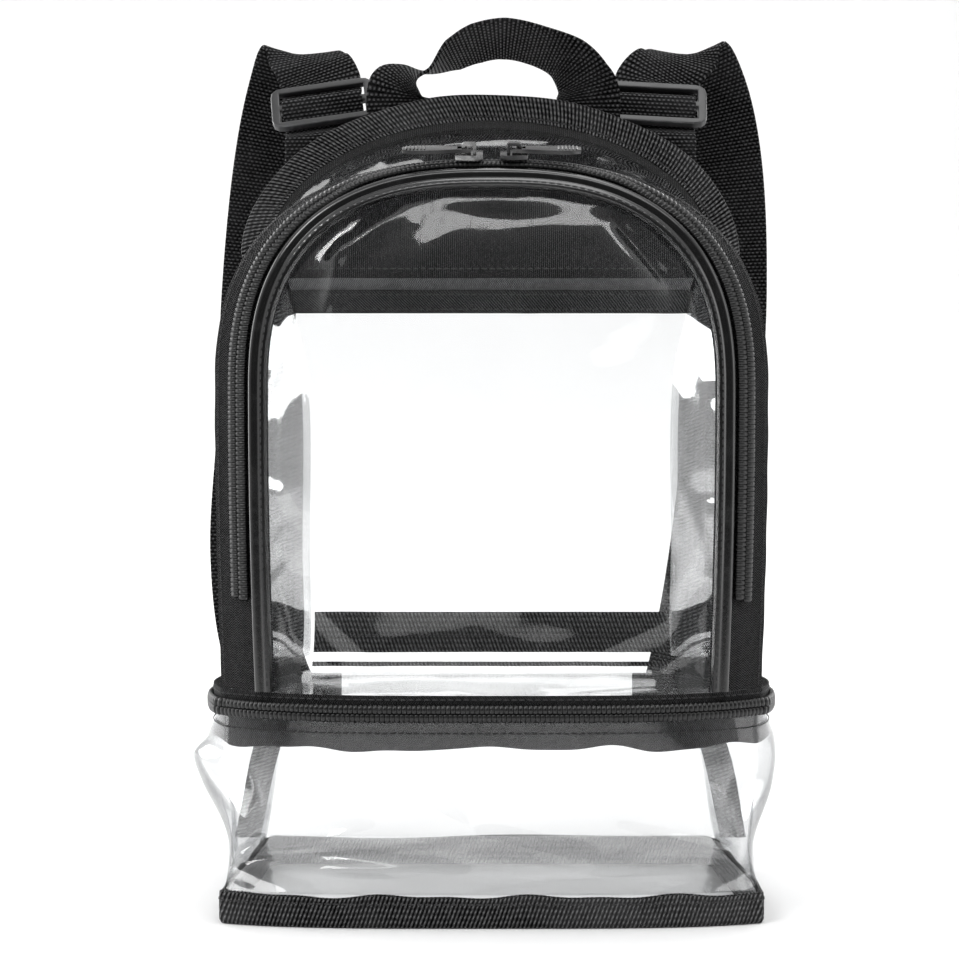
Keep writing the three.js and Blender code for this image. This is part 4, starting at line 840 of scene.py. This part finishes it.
def piping_piece():
    """Glossy vinyl piping: a round bead, a groove and a ribbed flat edge."""
    shares, _ = arch_shares(520, ROLLED_BAND + 3)
    top = TRIM_LOW + PIPING_HEIGHT
    low = TRIM_LOW - 0.4
    profile = [(0.0, low), (0.05, low + 1.2), (0.5, top - 1.0), (1.3, top - 0.15), (2.2, top), (3.0, top - 0.5),
               (3.5, top - 1.2), (3.8, top - 1.25), (4.3, top - 0.85), (5.2, top - 0.85), (5.9, top - 1.2), (6.2, low + 0.8),
               (6.2, low), (3.0, low)]
    rings = np.zeros((len(shares), len(profile), 3))
    for k, (inset, lift) in enumerate(profile):
        x, z = arch_point(shares, FRONT_ARCH, ROLLED_BAND + inset)
        rings[:, k] = front_point(x, z, lift)
    width = np.concatenate([[0], np.cumsum(np.linalg.norm(np.diff(rings[0], axis=0), axis=1))])
    return loft("door_piping_bead", rings, piping_vinyl, "piping", ["door_piping"], across=width)


# Lower compartment
LOWER_FOLDS = [
    # start and end along the wall and in height, in millimetres, then width and height of the fold
    (-98, 22, -40, 36, 2.8, 3.0), (-100, 24, -72, 54, 2.8, 3.0), (-98, 20, -20, 21, 2.8, 2.6),
    (-94, 18, -52, 14, 3.0, 1.0), (98, 24, 72, 54, 2.8, 3.0), (98, 21, 44, 36, 2.8, 2.6),
    (96, 18, 36, 17, 4.0, 1.2), (-42, 60, -8, 34, 3.2, 3.0), (-8, 34, 40, 22, 3.2, 2.4),
    (-74, 24, 0, 17, 3.4, 1.8), (6, 15, 78, 20, 3.4, 1.8), (40, 62, 66, 36, 5.0, 2.0),
    (-150, 24, -142, 62, 8.0, 1.6), (-178, 22, -168, 58, 8.0, -1.4), (150, 24, 142, 62, 8.0, 1.6),
    (178, 22, 168, 58, 8.0, -1.4),
]


def lower_lift(u, z, share):
    edge = smooth((z - 11) / 10) * smooth((LOWER_TAPE_LOW - 1 - z) / 8) * smooth(np.minimum(share, 1 - share) * 30)
    lift = folds(u, z, LOWER_FOLDS) + ripples(u, z, 51, 60, 1.4)
    left = np.exp(-((share - 0.2) / 0.1) ** 2) * np.exp(-((z - 56) / 20) ** 2)
    right = np.exp(-((share - 0.82) / 0.1) ** 2) * np.exp(-((z - 36) / 20) ** 2)
    return edge * (lift + 5.0 * left + 2.5 * right)


def lower_sheet():
    shares, length = plan_shares(300, 60)
    z = np.concatenate([[BASE_BINDING_HEIGHT / 2], np.linspace(BACK_FOOT, LOWER_TAPE_LOW, 52), [LOWER_WALL_TOP - CLEARANCE]])
    u = np.linspace(-length / 2, length / 2, 300)[:, None]
    share, height = np.broadcast_arrays(shares[:, None], z[None])
    lift = lower_lift(u, height, share)
    outer = plan_point(share, height, 0.75 + lift)
    inner = plan_point(share, height, 0.25 + lift)

    def flange(side, inset, y):
        above = np.maximum(z, BACK_FOOT)
        return np.stack([side * back_inset_half(above, inset), np.full_like(z, y), above], -1)[None]

    outer = np.concatenate([flange(-1, SLOT_INSET, FLANGE_Y - 0.7), outer, flange(1, SLOT_INSET, FLANGE_Y - 0.7)])
    inner = np.concatenate([flange(-1, SLOT_INSET, FLANGE_Y - 0.2), inner, flange(1, SLOT_INSET, FLANGE_Y - 0.2)])
    return shell("lower_sheet", outer, inner, soft_clear, "clear_vinyl", ["lower_wall"])


def wall_tape(name, low, high, near, far, node, wavy=0.0, material=None):
    shares, length = plan_shares(420, ZIP_HEIGHT)
    z = np.linspace(low, high, 9)
    share, height = np.broadcast_arrays(shares[:, None], z[None])
    u = np.linspace(0, length, 420)[:, None]
    sway = wavy * ripples(u, 0 * u, 61, 26, 1.6) * ((high - height) / (high - low)) ** 2
    outer = plan_point(share, height, far)
    inner = plan_point(share, height, near)
    outer[..., 2] += sway
    inner[..., 2] += sway
    return shell(name, outer, inner, material or zip_tape, "zip_tape", [node])


def floor_sheet(name, z, sag, lift, node, material):
    sides, _ = plan_shares(60, z, PLAN_END, 0.5 - 0.003)
    columns = 70
    back_edge = BACK_SHEET_Y - CLEARANCE
    corner = float(back_inset_half(z, SEAM_INSET)) - CLEARANCE
    left, right = plan_point(sides, z, lift), plan_point(1 - sides, z, lift)
    left[0], right[0] = (-corner, back_edge, z), (corner, back_edge, z)
    t = np.linspace(0, 1, columns)[None, :, None]
    grid = left[:, None] + (right - left)[:, None] * t
    front = plan_point(0.5, z, lift)[1]
    depth = (back_edge - grid[..., 1]) / (back_edge - front)
    dip = (np.sin(math.pi * t[..., 0]) * np.sin(math.pi * np.clip(depth, 0, 1))) ** 2
    grid[..., 2] -= sag * dip - dip * 0.8 * ripples(grid[..., 0], grid[..., 1], 71, 50, 1.0)
    return shell(name, grid + (0, 0, 0.75), grid + (0, 0, 0.25), material, "clear_vinyl", [node])


# Webbing along a route
def route(rows, steps):
    """Centripetal curve through rows of (point, width direction), with an even frame."""
    pts = np.array([r[0] for r in rows], float)
    wide = np.array([r[1] for r in rows], float)
    count = (len(pts) - 1) * steps
    centre, across = [], []
    for i in range(count + 1):
        place = i / steps
        k = min(int(place), len(pts) - 2)
        t = place - k
        p1, p2 = pts[k], pts[k + 1]
        p0 = pts[k - 1] if k > 0 else 2 * p1 - p2
        p3 = pts[k + 2] if k + 2 < len(pts) else 2 * p2 - p1
        d0, d1, d2 = (max(np.linalg.norm(b - a), 1e-4) ** 0.5 for a, b in ((p0, p1), (p1, p2), (p2, p3)))
        m1 = ((p1 - p0) / d0 - (p2 - p0) / (d0 + d1) + (p2 - p1) / d1) * d1
        m2 = ((p2 - p1) / d1 - (p3 - p1) / (d1 + d2) + (p3 - p2) / d2) * d1
        centre.append((2 * t**3 - 3 * t**2 + 1) * p1 + (t**3 - 2 * t**2 + t) * m1 + (3 * t**2 - 2 * t**3) * p2
                      + (t**3 - t**2) * m2)
        across.append(lerp(wide[k], wide[k + 1], t))
    centre, across = np.array(centre), np.array(across)
    tangent = np.gradient(centre, axis=0)
    tangent /= np.linalg.norm(tangent, axis=1, keepdims=True)
    across -= tangent * np.einsum("ij,ij->i", across, tangent)[:, None]
    across /= np.linalg.norm(across, axis=1, keepdims=True)
    return centre, across, np.cross(tangent, across)


def ribbon(name, rows, width, thickness, node, steps=12, curl=0.0):
    centre, across, face = route(rows, steps)
    profile = flat_profile(width, thickness)
    bend = curl * (profile[:, 0] / (width / 2)) ** 2
    rings = centre[:, None] + across[:, None] * profile[None, :, 0, None] + face[:, None] * (profile[:, 1] + bend)[None, :, None]
    return loft(name, rings, webbing, "webbing", [node], across=profile[:, 0])


def handle_rows():
    foot = arch_top(HANDLE_HALF_SPAN)
    table = [(-.97, .12, 1, 0, 0), (-.86, .34, .62, -.75, -.15), (-.64, .44, .05, -1, 0), (-.4, .7, -.25, -.9, .32),
             (-.15, .9, -.22, -.84, .48), (.15, .98, 0, -.83, .55), (.52, .85, .25, -.82, .48), (.82, .62, .66, -.66, .3),
             (.98, .3, .85, -.5, .1), (1.04, 0, 1, 0, 0)]
    rows = []
    for a, up, *wide in table:
        wide = np.array(wide, float)
        rows.append(((a * HANDLE_HALF_SPAN, ON_BACK, foot + HANDLE_CLEAR + up * HANDLE_RISE), wide / np.linalg.norm(wide)))
    first, last = rows[0], rows[-1]
    sewn = foot - SEWN_LENGTH / 2
    return [((first[0][0], ON_BACK, sewn), first[1]), *rows, ((last[0][0], ON_BACK, sewn), last[1])]


def turn_about_front(v, angle):
    """Turns a vector about the axis that points to the front."""
    c, s = math.cos(angle), math.sin(angle)
    x, y, z = v
    return np.array([c * x - s * z, y, s * x + c * z])


def buckle_frame(side, tilt):
    roll = math.radians(tilt) * side
    rise = (0, math.sin(math.radians(BUCKLE_TILT)), math.cos(math.radians(BUCKLE_TILT)))
    up = turn_about_front(rise, roll * -1)
    across = turn_about_front((1, 0, 0), roll * -1)
    face = np.cross(across, up)
    seam = np.array([side * STRAP_ROOT, ON_BACK, arch_top(STRAP_ROOT)])
    return across, up, face / np.linalg.norm(face), seam, seam + up * BUCKLE_FROM_SEAM


STRAP_ROUTE = [
    (.775, .795, .78, 1.05, 2), (.83, .87, .96, 1.062, 5), (.885, .95, 1.08, 1.02, 10), (.95, 1.02, 1.14, .93, 16),
    (1.01, 1.05, 1.12, .76, 20), (1.03, 1.01, .98, .56, 17), (1.05, .95, .8, .4, 12), (1.0, .88, .64, .28, 6),
    (.89, .81, .44, .2, 2), (.8, .77, .22, .18, 0)]
WEAVE = [(-.5, -1.25), (-.36, -1.2), (0, 1.35), (.36, -1.2), (.5, -1.25), (.72, -1.15)]


def strap_rows(side, tilt, column):
    across, up, face, seam, centre = buckle_frame(side, tilt)
    weave_lift = BUCKLE_THICKNESS / 2 + CLEARANCE + WEBBING / 2
    rows = [(seam + (0, CLEARANCE * (1 - s), -SEWN_LENGTH * s), across) for s in (1, .5, 0)]
    rows += [(centre + up * u * BUCKLE_LENGTH + face * lift * weave_lift, across) for u, lift in WEAVE]
    for row in STRAP_ROUTE:
        turn = math.radians(row[4]) * side
        at = (side * row[column] * STRAP_SPREAD, BACK_Y + row[2] * STRAP_REACH, row[3] * BACK_HEIGHT)
        rows.append((at, np.array([math.cos(turn), -abs(math.sin(turn)) * side, 0])))
    end = side * STRAP_ROUTE[-1][column] * STRAP_SPREAD
    rows += [((end, ON_BACK + CLEARANCE * s, STRAP_END_HEIGHT - SEWN_LENGTH * s), np.array([1.0, 0, 0])) for s in (1, .5, 0)]
    return rows


def rounded_copy(name, node, width, material, body="bag", segments=3):
    """The CAD node's shape with rounded edges."""
    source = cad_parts[node]
    work = bmesh.new()
    work.from_mesh(source.data)
    bmesh.ops.remove_doubles(work, verts=work.verts, dist=1e-6)
    bmesh.ops.dissolve_limit(work, angle_limit=math.radians(1), verts=work.verts, edges=work.edges)
    sharp = [e for e in work.edges if len(e.link_faces) == 2 and e.calc_face_angle(0) > math.radians(25)]
    bmesh.ops.bevel(work, geom=sharp, offset=width * MM, segments=segments, affect="EDGES", profile=0.6, clamp_overlap=True)
    bmesh.ops.triangulate(work, faces=[f for f in work.faces if len(f.verts) > 4])
    mesh = bpy.data.meshes.new(name)
    work.to_mesh(mesh)
    work.free()
    mesh.polygons.foreach_set("use_smooth", np.ones(len(mesh.polygons), bool))
    mesh.set_sharp_from_angle(angle=math.radians(40))
    mesh.materials.append(material)
    obj = bpy.data.objects.new(name, mesh)
    bpy.context.collection.objects.link(obj)
    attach(obj, body)
    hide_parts(node)
    return obj


def stitches(name, rows, pitch=3.0, long=2.1, radius=0.33, lift=0.1):
    """Stitches of thread along rows of (dense points, directions out of the cloth)."""
    parts = []
    for points, up in rows:
        step = np.linalg.norm(np.diff(points, axis=0), axis=1)
        run = np.concatenate([[0], np.cumsum(step)])
        at = np.arange(pitch / 2, run[-1] - long, pitch)
        pick = lambda where, data: np.stack([np.interp(where, run, data[:, k]) for k in range(3)], -1)
        normal = pick(at, up)
        normal /= np.linalg.norm(normal, axis=1, keepdims=True)
        parts.append(capsules(pick(at, points) + normal * lift, pick(at + long, points) + normal * lift, normal, radius, 0.7))
    verts, faces, uvs = merge(parts)
    return build(name, verts, faces, uvs, thread, "webbing", flip=False)


def level_row(half, y, z, facing=-1.0):
    x = np.linspace(-half, half, 120)
    return np.stack([x, np.full(120, y), np.full(120, z)], -1), np.tile([0.0, facing, 0.0], (120, 1))


def back_row(inset, y, facing, low=0.0):
    share = np.linspace(low, 1 - low, 600)
    x, z = arch_point(share, BACK_ARCH, inset)
    return np.stack([x, np.full(600, y), z], -1), np.tile([0.0, facing, 0.0], (600, 1))


def front_row(inset, lift):
    x, z = arch_point(np.linspace(0.002, 0.998, 600), FRONT_ARCH, inset)
    at = front_point(x, z, lift)
    return at, front_point(x, z, lift + 1) - at


def wall_row(z, lift):
    shares = np.linspace(PLAN_END, 1 - PLAN_END, 500)
    at = plan_point(shares, z, lift)
    return at, plan_point(shares, z, lift + 1) - at


def grip_ribs(side_name):
    """Raised ribs over the outer end of a pull tab."""
    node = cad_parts[f"pull_tab_{side_name}"]
    co = np.array([node.matrix_world @ v.co for v in node.data.vertices]) / MM
    co[:, 1] -= SHIFT
    onward = np.array([-1.0 if side_name == "left" else 1.0, 0.0, 0.0])
    width = np.array([0.0, 0.9431, 0.3321])
    up = np.array([0.0, -0.3321, 0.9431])
    run, off, rise = co @ onward, co @ width, co @ up
    middle = (off.max() + off.min()) / 2
    parts = []
    for back in np.arange(1.6, 9.0, 1.3):
        at = onward * (run.max() - back) + width * middle + up * (rise.max() + 0.02)
        half = 1.9 if back < 2 else 2.4
        parts.append((at - width * half, at + width * half))
    starts, ends = (np.array(p) for p in zip(*parts))
    verts, faces, uvs = capsules(starts, ends, np.tile(up, (len(starts), 1)), 0.36, 1.0, 8)
    return build(f"grip_{side_name}", verts, faces, uvs, slider_metal, "slider", body=f"pull_tab_{side_name}", flip=False)


door_sheet()
gusset_sheet()
back_sheet()
yoke_sheet()
level_strip("yoke_band_cloth", YOKE_BOTTOM, YOKE_TAPE_ABOVE, 0.9, twill_band, "webbing", "yoke_band")
level_strip("yoke_trim", YOKE_BOTTOM + YOKE_TAPE_ABOVE + CLEARANCE, YOKE_TAPE_HEIGHT, 0.9, pale_tape, "zip_tape", "yoke_tape")
level_strip("lower_band", LOWER_BAND_TOP - LOWER_BAND_HEIGHT, LOWER_BAND_HEIGHT, 1.3, binding, "webbing", "back_lower_band")
back_binding_piece()
base_binding_piece()
middle = COIL_INSET + COIL_WIDTH / 2
front_strip("zip_tape_outer", 0, middle - 0.03, TAPE_LOW, TAPE_HIGH, zip_tape, "zip_tape", "main_zip_outer_tape")
front_strip("zip_tape_inner", middle + 0.03, ROLLED_BAND + PIPING_WIDTH, TAPE_LOW, TAPE_HIGH, zip_tape, "zip_tape",
            "main_zip_inner_tape")
level_strip("divider_hem", ZIP_HEIGHT + 2.4, 1.8, 1.0, binding, "webbing", None)
main_coil()
lower_coil()
piping_piece()
lower_sheet()
wall_tape("lower_tape_above", ZIP_HEIGHT + CLEARANCE, LOWER_SEAM, TAPE_LOW, TAPE_HIGH, "lower_zip_upper_tape")
wall_tape("lower_tape_below", LOWER_TAPE_LOW, LOWER_TAPE_TOP, -LAP_CLEARANCE - TAPE, -LAP_CLEARANCE, "lower_zip_lower_tape", 1.2,
          lower_tape)
floor_sheet("divider_sheet", ZIP_HEIGHT, 3.0, VINYL, "divider_floor", floor_clear)
floor_sheet("base_sheet", BASE_BINDING_HEIGHT + CLEARANCE, 0.0, -VINYL, "base_panel", floor_clear)
ribbon("handle_webbing", handle_rows(), HANDLE_WIDTH, WEBBING, "grab_handle")
for column, (side_name, side, tilt) in enumerate((("left", -1, 8), ("right", 1, 3))):
    ribbon(f"strap_webbing_{side_name}", strap_rows(side, tilt, column), STRAP_WIDTH, WEBBING, f"shoulder_strap_{side_name}")
    rounded_copy(f"buckle_{side_name}", f"strap_buckle_{side_name}", 0.7, buckle_plastic)
    rounded_copy(f"slider_{side_name}", f"main_slider_{side_name}", 0.3, slider_metal)
    rounded_copy(f"tab_{side_name}", f"pull_tab_{side_name}", 0.3, slider_metal, f"pull_tab_{side_name}")
    grip_ribs(side_name)
rounded_copy("lower_slider_body", "lower_slider", 0.3, slider_metal)

slot_front = FLANGE_Y - VINYL - CLEARANCE
stitches("thread_back", [
    back_row(BINDING_WIDTH - 1.5, slot_front - BINDING_WALL, -1.0, 0.03),
    back_row(BINDING_WIDTH - 1.5, BACK_Y, 1.0, 0.03),
    level_row(74, BACK_SHEET_Y + 0.1, 236.6),
    level_row(72, FLANGE_Y - 1.0, YOKE_BOTTOM + 1.6),
    level_row(72, FLANGE_Y - 1.0, YOKE_BOTTOM + YOKE_TAPE_ABOVE - 1.6),
    level_row(66, FLANGE_Y - 1.4, LOWER_BAND_TOP - 9.2),
])
stitches("thread_front", [front_row(1.4, TAPE_HIGH), front_row(ROLLED_BAND + PIPING_WIDTH - 1.2, TRIM_LOW + PIPING_HEIGHT - 0.9),
                          wall_row(ZIP_HEIGHT + 4.8, TAPE_HIGH), wall_row(69.6, 1.2)], pitch=2.8, long=2.0)
base_shares, _ = plan_shares(500, 0)
base_out = base_ring(VINYL + CLEARANCE + BINDING_WALL * 1.1, BASE_BINDING_HEIGHT - 2.2, base_shares)
base_past = base_ring(VINYL + CLEARANCE + BINDING_WALL * 1.1 + 1, BASE_BINDING_HEIGHT - 2.2, base_shares)
stitches("thread_base", [(base_out, base_past - base_out)])


# Stage, lights and camera
def stage_material(name, colour, glow):
    s = Shade(name)
    grain = s.noise(6.0, 2.0)
    far = s.add("ShaderNodeVectorMath", {0: s.add("ShaderNodeTexCoord").outputs["Object"]},
                operation="LENGTH").outputs["Value"]
    shader = s.add("ShaderNodeBsdfPrincipled", {
        "Base Color": s.mix_colour(grain, colour, tuple(c * 0.985 for c in colour)),
        "Roughness": 0.9,
        "Emission Color": (1, 1, 1, 1),
        # The glow is a quarter as strong within 0.15 m of the middle and full past 0.7 m: painted shade on the floor
        # around the bag.
        "Emission Strength": s.ramp(far, 0.15, 0.7, 0.25 * glow, glow),
    })
    return s.finish(shader.outputs[0])


def sweep():
    """A pale floor that curves up into a backdrop."""
    profile = [(-3.0, 0.0), (0.9, 0.0)]
    profile += [(0.9 + 0.7 * math.sin(a), 0.7 * (1 - math.cos(a))) for a in np.linspace(0.1, math.pi / 2, 14)]
    profile += [(1.6, 3.0)]
    verts = [(x, y, z) for y, z in profile for x in (-3.0, 3.0)]
    faces = [(2 * i, 2 * i + 1, 2 * i + 3, 2 * i + 2) for i in range(len(profile) - 1)]
    mesh = bpy.data.meshes.new("floor")
    mesh.from_pydata(verts, [], faces)
    mesh.polygons.foreach_set("use_smooth", np.ones(len(mesh.polygons), bool))
    mesh.materials.append(stage_material("floor_white", (0.9, 0.9, 0.9), 0.14))
    obj = bpy.data.objects.new("floor", mesh)
    bpy.context.collection.objects.link(obj)


def softbox(name, place, target, size, power, colour=(1, 1, 1)):
    data = bpy.data.lights.new(name, "AREA")
    data.shape = "RECTANGLE"
    data.size, data.size_y = size
    data.energy = power
    data.color = colour
    obj = bpy.data.objects.new(name, data)
    bpy.context.collection.objects.link(obj)
    obj.location = place
    obj.rotation_euler = (Vector(target) - Vector(place)).to_track_quat("-Z", "Y").to_euler()


sweep()
softbox("key", (-1.0, -1.0, 1.5), (0, 0, 0.15), (0.6, 0.6), 10)
softbox("strip", (0.1, -0.8, 1.3), (0, 0, 0.2), (1.5, 0.22), 4)
softbox("fill", (1.6, -0.3, 0.6), (0, 0, 0.15), (0.5, 1.3), 3)
softbox("rim", (-1.3, 0.4, 0.5), (0, 0, 0.2), (0.5, 1.0), 5)
softbox("back_left", (-0.8, 1.0, 0.55), (0, 0, 0.2), (0.5, 0.7), 5)
softbox("back_right", (0.8, 1.0, 0.55), (0, 0, 0.2), (0.5, 0.7), 4)
softbox("top", (0.2, 0.1, 1.6), (0, 0, 0.1), (1.3, 0.6), 6)

world = bpy.data.worlds.new("studio")
bpy.context.scene.world = world
world.use_nodes = True
tree = world.node_tree
direction = tree.nodes.new("ShaderNodeTexCoord").outputs["Generated"]
split = tree.nodes.new("ShaderNodeSeparateXYZ")
tree.links.new(direction, split.inputs[0])
shade = tree.nodes.new("ShaderNodeMapRange")
shade.interpolation_type = "SMOOTHSTEP"
for socket, value in zip(shade.inputs[1:5], (-0.98, -0.1, 0.13, 0.85)):
    socket.default_value = value
tree.links.new(split.outputs[1], shade.inputs[0])
tree.links.new(shade.outputs[0], tree.nodes["Background"].inputs["Strength"])
tree.nodes["Background"].inputs["Color"].default_value = (1, 1, 1, 1)

CAMERA_AT = (-0.00434, -1.0921, 0.2126)
CAMERA_PITCH = math.radians(3.01)
camera_data = bpy.data.cameras.new("camera")
camera_data.sensor_width = 36
camera_data.lens = 2850 / 959 * 36
camera = bpy.data.objects.new("camera", camera_data)
bpy.context.collection.objects.link(camera)
camera.location = CAMERA_AT
camera.rotation_euler = (math.pi / 2 - CAMERA_PITCH, 0, 0)
bpy.context.scene.camera = camera
